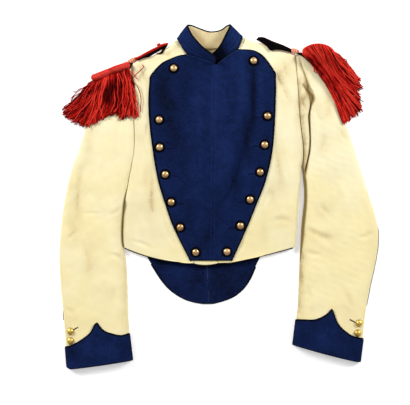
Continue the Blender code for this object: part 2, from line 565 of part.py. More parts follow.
def turned_button(name, diameter, height, spot, normal, clearance, material, collection):
    """A domed button, its profile turned about its own axis."""
    r = diameter / 2
    profile = ((0.0, height), (0.42 * r, 0.93 * height), (0.76 * r, 0.70 * height), (0.95 * r, 0.42 * height),
               (r, 0.26 * height), (0.86 * r, 0.16 * height), (0.45 * r, 0.0), (0.0, 0.0))
    mesh = bpy.data.meshes.new(name)
    mesh.from_pydata([(x * MM, 0, z * MM) for x, z in profile],
                     [(i, i + 1) for i in range(len(profile) - 1)], [])
    obj = add_object(name, mesh, material, collection)
    mod = obj.modifiers.new("turned", "SCREW")
    mod.steps = mod.render_steps = 12
    mod.use_merge_vertices = True
    mod.merge_threshold = 0.00001
    mod.use_smooth_shade = True
    normal = Vector(normal).normalized()
    obj.rotation_euler = normal.to_track_quat("Z", "Y").to_euler()
    obj.location = (Vector(spot) + normal * clearance) * MM
    return obj


def build():
    for obj in list(bpy.data.objects):
        bpy.data.objects.remove(obj, do_unlink=True)
    tunic = bpy.data.collections.new("military_dress_tunic")
    bpy.context.scene.collection.children.link(tunic)
    tops = []                     # grids that later pieces may lie on
    sleeves, tails, rings = {}, {}, {}

    def cloth(name, grid, thickness=CLOTH, **how):
        return shell(name, grid, thickness, material_for(name), tunic, **how)

    # fronts and back ---------------------------------------------------
    left = front_grid(FRONT_LEFT, FRONT_ROWS, -1)
    right = front_grid(FRONT_RIGHT, FRONT_ROWS, 1)
    edge = edge_column(left)
    cloth("front_left", left)
    cloth("front_right", right)
    back = []
    for row, l, r in zip(FRONT_ROWS, left[:, 0], right[:, 0]):
        points = []
        for w in (0.0, 0.06, 0.14, 0.24, 0.36, 0.5, 0.64, 0.76, 0.86, 0.94, 1.0):
            p = l + (r - l) * w
            dip = np.interp(row, BACK_DIP_ROWS, BACK_DIP)
            points.append((p[0], p[1] - dip * SQUARE * 4 * w * (1 - w), CLOTH))
        back.append(points)
    back = np.array(back)
    cloth("back", back)

    # plastron ------------------------------------------------------------
    near, far = plastron_grids(left, right, edge)
    for name, grid in (("plastron_left", near), ("plastron_right", far)):
        cloth(name, grid, side=1.0)
        tops.append(grid + normals(grid) * CLOTH)
    tops += [left, right]

    # sleeves ---------------------------------------------------------------
    for side, word, table, body in ((-1, "left", SLEEVE_LEFT, FRONT_LEFT), (1, "right", SLEEVE_RIGHT, FRONT_RIGHT)):
        sleeve_rows = sorted(list(range(len(table))) + ([13.5] if side < 0 else []))
        grid = sleeve_grid(table, body, sleeve_rows, side)
        cloth("sleeve_%s_upper" % word, grid)
        tops.append(grid)
        sleeves[word] = grid
        under = grid[:, [0, 6, -1]].copy()
        under[:, :, 2] = [[CLOTH + max(0.0, at(table, SLEEVE_HEAD, "lift", r))] * 3 for r in sleeve_rows]
        cloth("sleeve_%s_under" % word, under)

    # cuffs -------------------------------------------------------------------
    for side, word, table, body, cuff, top_edge in (
            (-1, "left", SLEEVE_LEFT, FRONT_LEFT, CUFF_LEFT, CUFF_EDGE_LEFT),
            (1, "right", SLEEVE_RIGHT, FRONT_RIGHT, CUFF_RIGHT, CUFF_EDGE_RIGHT)):
        ring = cuff_ring(table, body, side, cuff, top_edge)
        cloth("cuff_" + word, ring, side=1.0, ring=True, even=True)
        brow = ring[0, :-5]                      # the pointed edge, without the underside
        ahead = np.diff(brow[:, :2], axis=0)
        ahead = np.array([(-d[1], d[0]) for d in ahead / np.linalg.norm(ahead, axis=1, keepdims=True)])
        if ahead[:, 1].mean() < 0:               # towards the shoulder
            ahead = -ahead
        line = []
        for i in range(1, len(brow) - 1):
            meet = ahead[i - 1] + ahead[i]
            meet *= min(1.0 / (1.0 + float(ahead[i - 1].dot(ahead[i]))), 2.2)
            line.append((*(brow[i, :2] + meet * (CUFF_PIPE_R + 0.6)), brow[i, 2] + 0.5))
        rings[word] = line

    # tails ---------------------------------------------------------------------
    for word, table, away in (("left", TAIL_LEFT, -1), ("right", TAIL_RIGHT, 1)):
        rows = []
        for k in range(15):
            row = (len(table) - 1) * k / 14
            o = plan(at(table, TAIL_HEAD, "out_x", row), at(table, TAIL_HEAD, "out_y", row))
            s = plan(at(table, TAIL_HEAD, "seam_x", row), at(table, TAIL_HEAD, "seam_y", row))
            s[0] += away * GAP / 2
            rows.append([(*(o + (s - o) * w), CLOTH) for w in (0, 0.2, 0.4, 0.6, 0.8, 1)])
        grid = np.array(rows)
        for j in range(grid.shape[1]):          # the top row follows the back's waist edge
            w = (grid[0, j, 0] - left[0, 0, 0]) / (right[0, 0, 0] - left[0, 0, 0])
            waist = left[0, 0, 1] + (right[0, 0, 1] - left[0, 0, 1]) * w - BACK_DIP[0] * SQUARE * 4 * w * (1 - w)
            grid[0, j, 1] = waist - 2 * GAP
        tails[word] = grid
        cloth("tail_" + word, grid)

    # collar and its lining -----------------------------------------------------
    stations = [k * 0.5 for k in range(2 * (len(COLLAR) - 1) + 1)]
    band = []
    for row in stations:
        base = np.array([*plan(at(COLLAR, COLLAR_HEAD, "base_x", row), at(COLLAR, COLLAR_HEAD, "base_y", row)),
                         at(COLLAR, COLLAR_HEAD, "base_z", row)])
        top = np.array([*plan(at(COLLAR, COLLAR_HEAD, "top_x", row), at(COLLAR, COLLAR_HEAD, "top_y", row)),
                        at(COLLAR, COLLAR_HEAD, "top_z", row)])
        band.append([base + (top - base) * w for w in (0, 0.5, 1)])
    band = np.array(band)
    band[:, :, 2] = np.maximum(band[:, :, 2], 0.1)

    def facing_out(obj):            # the first face is at the throat and looks down the chest
        if obj.data.polygons[0].normal.y > 0:
            obj.data.flip_normals()
        return np.array([tuple(n.vector) for n in obj.data.vertex_normals]).reshape(band.shape)

    outward = facing_out(cloth("collar", band, COLLAR_CLOTH))
    inner = band - outward * (COLLAR_CLOTH + GAP)
    inner[:, 2] -= (band[:, 2] - band[:, 1]) * 0.03        # the lining stops just short of the edge
    facing_out(cloth("collar_lining", inner, LINING))

    # piping -----------------------------------------------------------------
    def piping(name, points):
        tube(name, points, PIPE_R, material_for(name), tunic)

    for word, line in rings.items():
        name = "cuff_%s_piping" % word
        tube(name, line, CUFF_PIPE_R, material_for(name), tunic)
    off = PIPE_R + GAP + 0.1
    for word, grid, plastron, away in (("left", left, near, -1), ("right", right, far, 1)):
        n = normals(grid)
        line = []
        for i in range(1, grid.shape[0]):
            p, q = grid[i, edge], grid[i, edge - 1]
            out = (q - p) / np.linalg.norm(q - p)
            line.append(p + out * (off + 0.3) + n[i, edge] * (off + 0.1))
        piping("plastron_%s_piping" % word, line)
        hem = grid[0, 3:].copy()
        hem[:, 1] -= off + 0.2
        hem[:, 2] = np.maximum(hem[:, 2] - 1.2, CLOTH + GAP + PIPE_R + 0.1)
        if away > 0:
            hem[-1, 0] += 0.6
        piping("waist_%s_piping" % word, hem)
    outline = [tails["left"][i, 0] + (-off, -off * 0.6, 0) for i in range(2, 15)]
    outline += [tails["right"][i, 0] + (off, -off * 0.6, 0) for i in range(14, 1, -1)]
    outline = [(p[0], p[1] - (off * 0.6 if abs(p[0] + 21) < 60 else 0.0), PIPE_R + 0.05) for p in outline]
    piping("tail_piping", outline)
    for word, grid, away, first in (("left", sleeves["left"], -1, 9), ("right", sleeves["right"], 1, 9)):
        rows = range(first, grid.shape[0] - 4)
        piping("sleeve_%s_piping" % word, [(grid[i, -1, 0] + away * (off + 0.1), grid[i, -1, 1], 1.6) for i in rows])
    rise = band[:, 2] - band[:, 1]
    rise /= np.linalg.norm(rise, axis=1, keepdims=True)
    brim = band[:, 2] + rise * (off + 0.1) - outward[:, 2] * (COLLAR_CLOTH / 2)
    brim[:, 2] = np.maximum(brim[:, 2], PIPE_R + 0.05)
    piping("collar_piping", brim)

    # buttons -------------------------------------------------------------------
    ground = Ground(tops)

    def button(name, spot, diameter, clearance):
        x, y = plan(*spot)
        z, _ = ground.hit(x, y)
        slope = sum((ground.hit(x + 4 * math.cos(a), y + 4 * math.sin(a))[1]
                     for a in (k * math.pi / 3 for k in range(6))), Vector())
        turned_button(name, diameter, BUTTON_H * diameter / BUTTON_D, (x, y, z), slope, clearance,
                      material_for(name), tunic)

    for word, spots in (("left", PLASTRON_BUTTONS_LEFT), ("right", PLASTRON_BUTTONS_RIGHT)):
        for k, spot in enumerate(spots):
            button("plastron_button_%s_%d" % (word, k + 1), spot, BUTTON_D, 0.5)
    for word, spots in (("left", SLEEVE_BUTTONS_LEFT), ("right", SLEEVE_BUTTONS_RIGHT)):
        for k, spot in enumerate(spots):
            button("sleeve_button_%s_%d" % (word, k + 1), spot, CUFF_BUTTON_D, 0.9)

    # epaulettes ----------------------------------------------------------------
    for word, strap, loop, roll, fringe in (
            ("left", STRAP_LEFT, LOOP_LEFT, ROLL_LEFT, FRINGE_LEFT),
            ("right", STRAP_RIGHT, LOOP_RIGHT, ROLL_RIGHT, FRINGE_RIGHT)):
        name = "epaulette_%s_" % word
        edges = []
        for k in range(9):
            row = (len(strap) - 1) * k / 8
            n_, f_ = [plan(at(strap, STRAP_HEAD, a + "_x", row), at(strap, STRAP_HEAD, a + "_y", row))
                      for a in ("near", "far")]
            z = max(at(strap, STRAP_HEAD, "z", row), ground.top(n_[0], n_[1], 4.0) + 3.6)
            edges.append([(*n_, z), (*(n_ + (f_ - n_) * 0.5), z + 0.4), (*f_, z - 1.5)])
        edges = np.array(edges)
        lining = edges.copy()
        lining[:, 2, :2] += (edges[:, 1] - edges[:, 2])[:, :2] * 0.12   # the red edge shows past the lining
        cloth(name + "strap", edges - (0, 0, GAP + 1.8), STRAP_T)
        cloth(name + "strap_lining", lining, 1.0)
        # roll and loop lie on what is beneath them
        line = line_between(roll, 15)
        heights = [ground.top(p[0], p[1], 5.0) for p in line]
        heights = [max(heights[max(0, i - 2):i + 3]) for i in range(15)]
        heights = [sum(heights[max(0, i - 1):i + 2]) / len(heights[max(0, i - 1):i + 2]) for i in range(15)]
        rolled = [(p[0], p[1], h + ROLL_R + 0.8) for p, h in zip(line, heights)]
        tube(name + "roll", rolled, ROLL_R, material_for(name + "roll"), tunic, 2)
        line = line_between(loop, 7)
        tube(name + "loop", [(p[0], p[1], ground.top(p[0], p[1], 4.0) + LOOP_R + 0.8) for p in line], LOOP_R,
             material_for(name + "loop"), tunic, 2)
        # fringe: a solid of its reach, lying on the sleeve and the surface
        rows, cols = 12, 15
        plan_grid = np.zeros((rows, cols, 2))
        for j in range(cols):
            r = (len(fringe) - 1) * j / (cols - 1)
            root, half, tip = [plan(at(fringe, FRINGE_HEAD, a + "_x", r), at(fringe, FRINGE_HEAD, a + "_y", r))
                               for a in ("root", "half", "tip")]
            ctrl = 2 * half - 0.5 * (root + tip)
            for i in range(rows):
                t = i / (rows - 1)
                plan_grid[i, j] = (1 - t) ** 2 * root + 2 * t * (1 - t) * ctrl + t * t * tip
        low = np.array([[ground.top(p[0], p[1], 7.0) for p in line] for line in plan_grid]) + 0.8
        low = np.where(low < 0.9, 0.0, low)
        thick = np.array([11.0 * (1 - 0.55 * i / (rows - 1)) for i in range(rows)])[:, None]
        round_off = np.array([0.6 + 0.4 * math.sin(math.pi * (j + 0.5) / cols) for j in range(cols)])[None, :]
        bottom = np.dstack([plan_grid, low])
        top = np.dstack([plan_grid, low + thick * round_off])
        slab(name + "fringe", top, bottom, material_for(name + "fringe"), tunic)

    return tunic


if __name__ == "__main__":
    build()
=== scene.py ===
"""Looks of the lancer's dress tunic, laid flat with the collar towards +Y.

Each cloth piece is lofted again through the sections of its CAD solid, finely,
with its creases, and takes the solid's place.  Plan positions are drafted in
squares of 2 mm counted from the top left corner of the drafting sheet (x to the
right, y down); heights and widths are in millimetres.
"""

import math

import bpy
import numpy as np
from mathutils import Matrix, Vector
from mathutils.bvhtree import BVHTree


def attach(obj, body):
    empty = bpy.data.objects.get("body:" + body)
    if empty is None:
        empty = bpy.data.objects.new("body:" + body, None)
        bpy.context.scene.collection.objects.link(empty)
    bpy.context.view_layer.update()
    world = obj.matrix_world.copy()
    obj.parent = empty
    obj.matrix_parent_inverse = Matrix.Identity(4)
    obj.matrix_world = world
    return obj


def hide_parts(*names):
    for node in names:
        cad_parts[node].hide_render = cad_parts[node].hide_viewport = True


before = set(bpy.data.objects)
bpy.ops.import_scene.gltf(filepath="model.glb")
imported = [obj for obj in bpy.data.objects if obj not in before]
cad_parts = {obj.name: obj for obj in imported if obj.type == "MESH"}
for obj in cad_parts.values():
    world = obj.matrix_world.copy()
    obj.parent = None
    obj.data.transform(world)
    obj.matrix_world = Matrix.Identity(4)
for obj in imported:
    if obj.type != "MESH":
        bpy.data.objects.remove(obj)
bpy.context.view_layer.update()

# ---------------------------------------------------------------- sizes (mm)
MM = 0.001
SQUARE = 2.0                # one drafting square
SHEET_X, SHEET_Y = 218.9, 196.0   # the square that lies on the origin
GAP = 0.3                   # between pieces at a seam
CLOTH = 2.0                 # body cloth with its inner layers pressed together
COLLAR_CLOTH = 1.5
LINING = 1.0
PIPE_R = 1.0                # radius of the piping
CUFF_PIPE_R = 0.7
BODY_ROUND = 15.0           # how far the side and shoulder edges round over
SLEEVE_ROUND = 15.0
BUTTON_D, BUTTON_H = 16.0, 6.0
CUFF_BUTTON_D = 14.0
ROLL_R = 6.3                # wool roll of the epaulette
LOOP_R = 3.6
STRAP_T = 1.6

# Each front from the waist edge (row 0) up to the neck (row 12).  A section
# runs from the outer edge (side seam, armhole, shoulder seam) over the
# plastron's edge to the closing edge in the middle.
FRONT_HEAD = ("out_x", "out_y", "edge_x", "edge_y", "mid_y", "bow_out", "bow_in",
              "rim", "seam", "crown", "z_edge", "z_mid")
FRONT_LEFT = (
    (123.3, 247.3, 190.8, 262.9, 263.4, 3.7, 2.0, 2.3, 4.6, 8.0, 9.3, 9.8),    # waist edge
    (122.8, 245.0, 190.8, 260.7, 260.7, 3.2, 0.0, 2.3, 4.7, 8.3, 9.6, 10.1),   # foot of the plastron
    (121.9, 229.5, 175.2, 229.2, 231.0, 1.0, 0.0, 2.3, 5.0, 10.2, 11.8, 12.4),
    (123.7, 207.2, 167.1, 207.2, 207.5, 0.0, 0.0, 2.6, 5.4, 12.2, 14.2, 15.0),
    (128.5, 181.0, 159.1, 180.8, 181.0, 0.0, 0.0, 6.0, 7.8, 14.0, 16.4, 17.6),  # above the armpit
    (134.1, 151.0, 153.9, 151.5, 151.5, 0.0, 0.0, 8.6, 10.4, 15.0, 17.8, 19.4),
    (134.3, 122.0, 150.3, 122.0, 122.0, 0.0, 0.0, 9.2, 11.0, 15.4, 18.4, 20.6),
    (133.0, 98.7, 149.5, 98.7, 101.0, 0.0, 0.0, 8.4, 10.2, 14.6, 18.0, 21.2),
    (131.3, 64.0, 150.7, 77.0, 85.0, 0.0, 0.0, 2.3, 5.0, 10.6, 15.6, 21.6),    # shoulder point
    (139.5, 59.6, 156.6, 69.8, 79.0, 0.0, 0.0, 2.3, 5.0, 10.4, 14.6, 21.8),
    (153.0, 55.6, 164.5, 62.9, 74.0, 0.0, 0.0, 2.3, 5.0, 10.2, 13.6, 21.8),
    (165.0, 48.9, 177.0, 57.2, 69.6, 0.0, -0.4, 2.3, 5.0, 9.4, 13.8, 21.6),
    (176.0, 39.5, 187.2, 55.4, 65.8, 0.0, -0.8, 2.3, 4.4, 7.4, 15.4, 21.0),    # neck seam
)
FRONT_RIGHT = (
    (295.5, 247.0, 231.4, 261.9, 262.4, 0.9, 0.0, 2.3, 4.6, 8.0, 9.3, 9.8),
    (295.8, 244.7, 231.4, 260.7, 260.7, 0.8, 0.0, 2.3, 4.7, 8.3, 9.6, 10.1),
    (297.1, 230.0, 245.5, 229.2, 231.0, 0.3, 0.0, 2.3, 5.0, 10.2, 11.8, 12.4),
    (298.4, 207.0, 254.4, 207.2, 207.5, 0.0, 0.0, 2.3, 5.2, 12.2, 14.2, 15.0),
    (300.8, 181.0, 264.7, 180.8, 181.0, 0.0, 0.0, 2.3, 5.6, 14.0, 16.4, 17.6),
    (303.4, 151.0, 271.3, 151.5, 151.5, 0.0, 0.0, 8.0, 9.8, 15.0, 17.8, 19.4),
    (300.3, 122.0, 273.8, 122.0, 122.0, 0.0, 0.0, 9.2, 11.0, 15.4, 18.4, 20.6),
    (298.6, 98.7, 274.7, 98.7, 101.0, 0.0, 0.0, 8.4, 10.2, 14.6, 18.0, 21.2),
    (295.6, 56.0, 275.2, 74.5, 85.0, 0.0, 0.0, 2.3, 5.0, 10.6, 15.6, 21.6),
    (290.0, 52.6, 269.6, 65.9, 79.0, 0.0, 0.0, 2.3, 5.0, 10.4, 14.6, 21.8),
    (279.0, 50.0, 262.4, 57.8, 74.0, 0.0, 0.0, 2.3, 5.0, 10.2, 13.6, 21.8),
    (262.0, 44.0, 254.0, 51.4, 69.6, 0.0, -0.5, 2.3, 5.0, 9.4, 13.8, 21.6),
    (243.8, 36.8, 238.0, 50.4, 65.8, 0.0, -1.0, 2.3, 4.4, 7.4, 15.4, 21.0),
)
SHOULDER_ROW = 8
NECK_ROW = 12
CLOSING_HEAD = ("closing_x", "seam_x")       # closing edge of the fronts, seam of the plastron
CLOSING = tuple((217.6 - 0.1 * row, 212.0 + 0.27 * row) for row in range(NECK_ROW + 1))

# Sleeves from the shoulder point to the wrist.  "body" is the row of the
# front's outer edge that the fore edge of the sleeve is sewn to or lies along;
# -1 where the sleeve is clear of the body.
SLEEVE_HEAD = ("body", "in_x", "in_y", "out_x", "out_y", "crown", "fold", "dip", "lift")
SLEEVE_LEFT = (
    (8.00, 0, 0, 126.6, 65.3, 7.0, 0.3, 0.0, 0.0),
    (7.67, 0, 0, 117.0, 71.8, 9.0, 0.3, 0.0, 0.0),
    (7.33, 0, 0, 106.3, 82.6, 11.0, 0.3, 0.3, 0.0),
    (7.00, 0, 0, 98.6, 94.2, 12.2, 0.3, 0.8, 0.0),
    (6.50, 0, 0, 93.0, 105.8, 12.8, 0.3, 1.0, 0.0),
    (6.00, 0, 0, 88.6, 117.8, 13.2, 0.3, 1.0, 0.0),
    (5.50, 0, 0, 83.8, 133.0, 13.4, 0.3, 0.8, 0.0),
    (5.00, 0, 0, 78.6, 149.2, 13.4, 0.3, 0.5, 0.0),
    (4.50, 0, 0, 72.7, 165.0, 13.2, 0.3, 0.3, 0.0),
    (4.00, 0, 0, 68.2, 181.0, 13.0, 0.3, 0.0, 0.0),
    (3.50, 0, 0, 65.3, 194.0, 12.8, 0.3, 0.0, 0.0),
    (3.00, 0, 0, 63.0, 207.0, 12.6, 0.3, 0.0, 0.0),
    (2.50, 0, 0, 61.5, 219.0, 12.4, 0.3, 0.0, 0.0),
    (2.00, 0, 0, 60.4, 230.0, 12.2, 0.3, 0.0, 0.0),
    (1.00, 0, 0, 59.1, 247.0, 12.0, 0.3, 0.0, 0.0),      # level with the waist edge
    (-1, 125.7, 260.0, 58.9, 262.0, 12.0, 0.3, 0.0, 0.0),
    (-1, 126.9, 280.0, 59.8, 281.0, 12.0, 0.3, 0.0, 0.0),
    (-1, 127.5, 298.0, 61.4, 299.0, 12.0, 0.3, 0.0, 0.0),
    (-1, 127.9, 309.0, 62.6, 310.0, 12.2, 0.3, 0.0, 0.0),
    (-1, 128.2, 320.0, 63.6, 321.5, 13.0, 0.3, 0.0, 2.4),   # start of the cuff
    (-1, 129.0, 334.0, 64.9, 337.0, 13.6, 0.3, 0.0, 2.4),
    (-1, 130.7, 346.0, 65.6, 351.0, 13.6, 0.3, 0.0, 2.4),
    (-1, 132.1, 355.0, 66.3, 362.0, 13.4, 0.3, 0.0, 2.4),   # sleeve end, just inside the cuff
)
SLEEVE_RIGHT = (
    (8.00, 0, 0, 302.0, 55.9, 7.0, 0.30, 0.0, 0.0),
    (7.67, 0, 0, 316.0, 67.3, 9.5, 0.34, 1.0, 0.0),
    (7.33, 0, 0, 325.0, 78.5, 11.5, 0.38, 2.2, 0.0),
    (7.00, 0, 0, 332.3, 90.3, 12.8, 0.34, 3.0, 0.0),
    (6.50, 0, 0, 337.4, 101.5, 13.2, 0.27, 3.0, 0.0),
    (6.00, 0, 0, 341.7, 113.5, 13.6, 0.22, 2.8, 0.0),
    (5.50, 0, 0, 347.3, 127.3, 13.8, 0.19, 2.4, 0.0),
    (5.00, 0, 0, 353.3, 144.0, 13.6, 0.16, 1.8, 0.0),
    (4.50, 0, 0, 359.6, 164.0, 13.2, 0.14, 1.0, 0.0),
    (-1, 303.3, 178.0, 364.0, 178.5, 13.0, 0.14, 0.0, 0.0),
    (-1, 304.6, 190.0, 368.0, 190.5, 12.8, 0.2, 0.0, 0.0),
    (-1, 304.4, 202.0, 371.8, 202.5, 12.6, 0.2, 0.0, 0.0),
    (-1, 303.0, 213.0, 375.2, 213.5, 12.4, 0.2, 0.0, 0.0),
    (-1, 301.7, 226.0, 378.3, 227.0, 12.2, 0.2, 0.0, 0.0),
    (-1, 300.9, 240.0, 378.9, 241.0, 12.0, 0.2, 0.0, 0.0),
    (-1, 300.1, 255.0, 377.2, 256.0, 12.0, 0.2, 0.0, 0.0),
    (-1, 299.6, 270.0, 374.2, 271.0, 12.0, 0.2, 0.0, 0.0),
    (-1, 299.1, 284.0, 371.0, 285.0, 12.0, 0.2, 0.0, 0.0),
    (-1, 298.7, 296.0, 368.7, 297.0, 12.2, 0.2, 0.0, 0.0),
    (-1, 298.3, 306.0, 366.8, 307.5, 13.0, 0.2, 0.0, 2.4),
    (-1, 296.6, 319.0, 364.9, 322.0, 13.6, 0.2, 0.0, 2.4),
    (-1, 295.0, 331.0, 363.2, 339.0, 13.6, 0.2, 0.0, 2.4),
    (-1, 293.9, 341.0, 361.2, 356.5, 13.4, 0.2, 0.0, 2.4),
)

# Cuffs: the two rows that bound the cloth (start and wrist), and the height of
# its upper edge between them (0 start, 1 wrist) across the sleeve, fore to hind.
CUFF_LEFT = dict(start=(127.2, 320.0, 63.6, 321.5), wrist=(132.0, 360.6, 67.0, 369.8), bow=0.6, corner=2.6)
CUFF_RIGHT = dict(start=(298.3, 306.0, 366.8, 307.5), wrist=(293.4, 345.2, 360.2, 362.8), bow=0.8, corner=0.8)
CUFF_EDGE_LEFT = ((0.0, .34), (.13, .37), (.31, .29), (.40, .21), (.445, .13), (.475, .05),
                  (.515, .10), (.58, .25), (.65, .33), (.73, .40), (.82, .465), (.9, .505), (1.0, .54))
CUFF_EDGE_RIGHT = ((0.0, .355), (.11, .335), (.23, .32), (.325, .27), (.40, .20), (.455, .13), (.49, .05),
                   (.53, .16), (.58, .30), (.66, .42), (.80, .53), (.9, .56), (1.0, .57))

# Back: how far each row sags in the middle, at the waist edge and at the neck.
BACK_DIP_ROWS = (0, 1, 2, 4, 9, 11, 11.5, 12)
BACK_DIP = (9.0, 8.6, 3.0, 0.0, 0.0, 6.0, 9.0, 12.4)

# Tails: sections from the outer edge to the seam in the middle.
TAIL_HEAD = ("out_x", "out_y", "seam_x", "seam_y")
TAIL_LEFT = (
    (143.2, 252.6, 207.2, 258.4), (151.4, 265.4, 207.4, 267.5), (159.5, 277.9, 207.8, 279.5),
    (167.5, 287.7, 208.1, 289.0), (176.4, 294.8, 208.3, 295.6), (185.4, 299.6, 208.4, 299.9),
    (194.3, 302.3, 208.5, 302.6), (203.0, 303.8, 208.6, 304.0))
TAIL_RIGHT = (
    (262.4, 252.6, 207.4, 258.4), (256.0, 266.2, 207.6, 267.5), (250.5, 278.8, 208.0, 279.5),
    (243.4, 289.0, 208.3, 289.0), (235.0, 296.0, 208.5, 295.6), (227.0, 299.8, 208.6, 299.9),
    (219.0, 302.2, 208.7, 302.6), (213.0, 303.7, 208.8, 304.0))

# Stand collar from its left end, which lies over the right one, round the back.
COLLAR_HEAD = ("base_x", "base_y", "base_z", "top_x", "top_y", "top_z")
COLLAR = (
    (216.0, 65.1, 20.4, 216.0, 60.4, 42.0),
    (210.2, 62.8, 20.0, 210.6, 55.5, 41.0),
    (203.9, 59.9, 19.0, 204.6, 50.9, 39.0),
    (198.4, 57.9, 17.8, 199.9, 46.6, 36.0),
    (192.8, 55.9, 16.6, 195.7, 41.6, 32.5),
    (187.6, 53.8, 14.6, 191.8, 36.4, 28.0),
    (182.0, 46.4, 10.0, 189.0, 30.8, 22.0),
    (177.0, 39.2, 6.0, 187.1, 25.6, 15.0),       # left fold
    (177.3, 38.7, 2.4, 187.4, 24.8, 7.0),
    (182.5, 42.6, 0.6, 191.5, 25.0, 1.8),
    (192.5, 46.6, 0.2, 199.5, 28.1, 0.3),
    (207.5, 48.2, 0.2, 210.0, 31.4, 0.2),        # middle of the back
    (224.0, 46.6, 0.2, 220.6, 29.9, 0.3),
    (236.0, 41.4, 0.6, 226.9, 25.6, 1.6),
    (242.4, 36.6, 2.4, 230.0, 24.5, 7.0),
    (242.9, 37.0, 6.0, 230.8, 24.9, 15.0),       # right fold
    (240.2, 43.0, 10.0, 229.4, 29.2, 22.0),
    (236.9, 49.4, 14.2, 227.4, 33.4, 28.0),
    (231.9, 52.4, 17.0, 225.0, 38.4, 32.0),
    (227.8, 55.6, 18.6, 221.9, 44.7, 35.0),
    (223.6, 59.4, 19.2, 218.6, 49.8, 36.4),
    (218.4, 62.2, 18.6, 213.6, 54.8, 34.0),
    (213.6, 62.2, 17.0, 209.0, 57.2, 26.6),      # end tucked under
)

# Epaulettes: the strap's near and far edge, the middle line of the loop and
# the roll, and the fringe, whose rows run from the roll to the tips.
STRAP_HEAD = ("near_x", "near_y", "far_x", "far_y", "z")
STRAP_LEFT = ((137.4, 60.0, 135.5, 56.9, 11.0), (143.4, 57.6, 141.8, 53.6, 9.4), (149.2, 56.3, 147.6, 50.4, 8.0),
              (153.0, 53.9, 151.6, 48.4, 7.2), (158.8, 50.5, 157.2, 45.6, 6.0), (163.2, 48.0, 162.0, 43.1, 5.4),
              (167.6, 44.9, 166.4, 42.1, 5.0))
STRAP_RIGHT = ((256.6, 39.6, 258.6, 37.4, 5.0), (261.2, 42.1, 263.4, 37.1, 5.6), (266.6, 45.6, 268.2, 38.9, 6.6),
               (270.8, 50.1, 273.2, 41.2, 7.6), (276.0, 49.6, 278.0, 43.0, 8.6), (281.8, 50.0, 283.2, 44.9, 9.6),
               (287.0, 51.2, 287.8, 47.0, 10.4), (292.0, 52.4, 292.2, 49.2, 11.0))
LOOP_LEFT = ((135.8, 58.4), (132.6, 60.0), (129.6, 61.2))
LOOP_RIGHT = ((292.2, 50.2), (294.6, 50.9), (297.2, 51.4))
ROLL_LEFT = ((130.0, 64.4), (122.5, 67.0), (116.5, 68.9), (110.5, 71.0), (104.5, 73.2), (98.4, 75.6), (91.2, 78.2))
ROLL_RIGHT = ((303.6, 53.4), (307.4, 49.6), (312.4, 47.2), (318.4, 46.4), (324.4, 47.3), (329.4, 49.8), (333.6, 54.6))
FRINGE_HEAD = ("root_x", "root_y", "half_x", "half_y", "tip_x", "tip_y")
FRINGE_LEFT = (
    (90.2, 82.6, 76.0, 94.0, 61.6, 108.6), (96.6, 81.8, 80.0, 98.0, 66.8, 118.4),
    (101.8, 79.4, 89.0, 100.0, 79.6, 126.4), (107.0, 77.3, 97.5, 99.0, 92.6, 124.6),
    (112.2, 75.4, 106.0, 95.0, 103.8, 117.8), (117.6, 73.6, 115.0, 92.0, 115.6, 113.6),
    (123.2, 71.9, 123.5, 92.0, 125.0, 118.6), (128.8, 70.4, 134.0, 92.0, 137.6, 115.6))
FRINGE_RIGHT = (
    (305.4, 57.6, 321.5, 75.0, 344.4, 120.0), (310.0, 53.9, 329.5, 75.0, 350.4, 117.6),
    (315.0, 51.4, 335.5, 72.5, 356.6, 111.4), (320.0, 50.8, 341.5, 71.5, 361.6, 104.0),
    (325.0, 52.2, 344.5, 70.0, 361.0, 95.0), (329.2, 55.0, 346.5, 68.5, 363.4, 88.0),
    (332.6, 58.0, 347.5, 66.5, 361.0, 80.4), (336.9, 59.4, 346.0, 63.8, 355.0, 73.0))

PLASTRON_BUTTONS_LEFT = ((173.9, 68.9), (159.4, 120.1), (159.8, 147.5), (165.4, 174.5),
                         (171.4, 202.1), (180.3, 227.3), (195.7, 252.3))
PLASTRON_BUTTONS_RIGHT = ((253.4, 61.3), (267.2, 116.4), (264.4, 145.0), (260.0, 172.2),
                          (249.9, 199.6), (240.3, 225.7), (226.9, 251.8))
SLEEVE_BUTTONS_LEFT = ((70.2, 330.2), (70.6, 339.4))
SLEEVE_BUTTONS_RIGHT = ((358.8, 322.2), (358.0, 331.4))
def at(table, head, name, row, corners=()):
    """A column's value at a row, smooth between rows; a corner row keeps its angle."""
    k = head.index(name)
    last = len(table) - 1
    i = max(0, min(int(math.floor(row)), last - 1))
    f = row - i

    def slope(j, ahead):
        if j == 0 or (j in corners and ahead):
            return table[j + 1][k] - table[j][k]
        if j == last or j in corners:
            return table[j][k] - table[j - 1][k]
        return 0.5 * (table[j + 1][k] - table[j - 1][k])

    p0, p1 = table[i][k], table[i + 1][k]
    m0, m1 = slope(i, True), slope(i + 1, False)
    return ((2 * f ** 3 - 3 * f ** 2 + 1) * p0 + (f ** 3 - 2 * f ** 2 + f) * m0
            + (3 * f ** 2 - 2 * f ** 3) * p1 + (f ** 3 - f ** 2) * m1)


def plan(x, y):
    """Drafting squares to millimetres."""
    return np.array([(x - SHEET_X) * SQUARE, (SHEET_Y - y) * SQUARE])


def quarter(t):
    """Quarter-round rise from 0 at a seam to 1."""
    t = min(max(t, 0.0), 1.0)
    return math.sqrt(1.0 - (1.0 - t) ** 2)

def out_edge(table, row):
    return plan(at(table, FRONT_HEAD, "out_x", row, (SHOULDER_ROW,)),
                at(table, FRONT_HEAD, "out_y", row, (SHOULDER_ROW,)))



# ------------------------------------------------------------- lines and fields
def squares(points):
    """Drafting squares to millimetres, for a list of plan positions."""
    return np.array([plan(*p[:2]) for p in points])


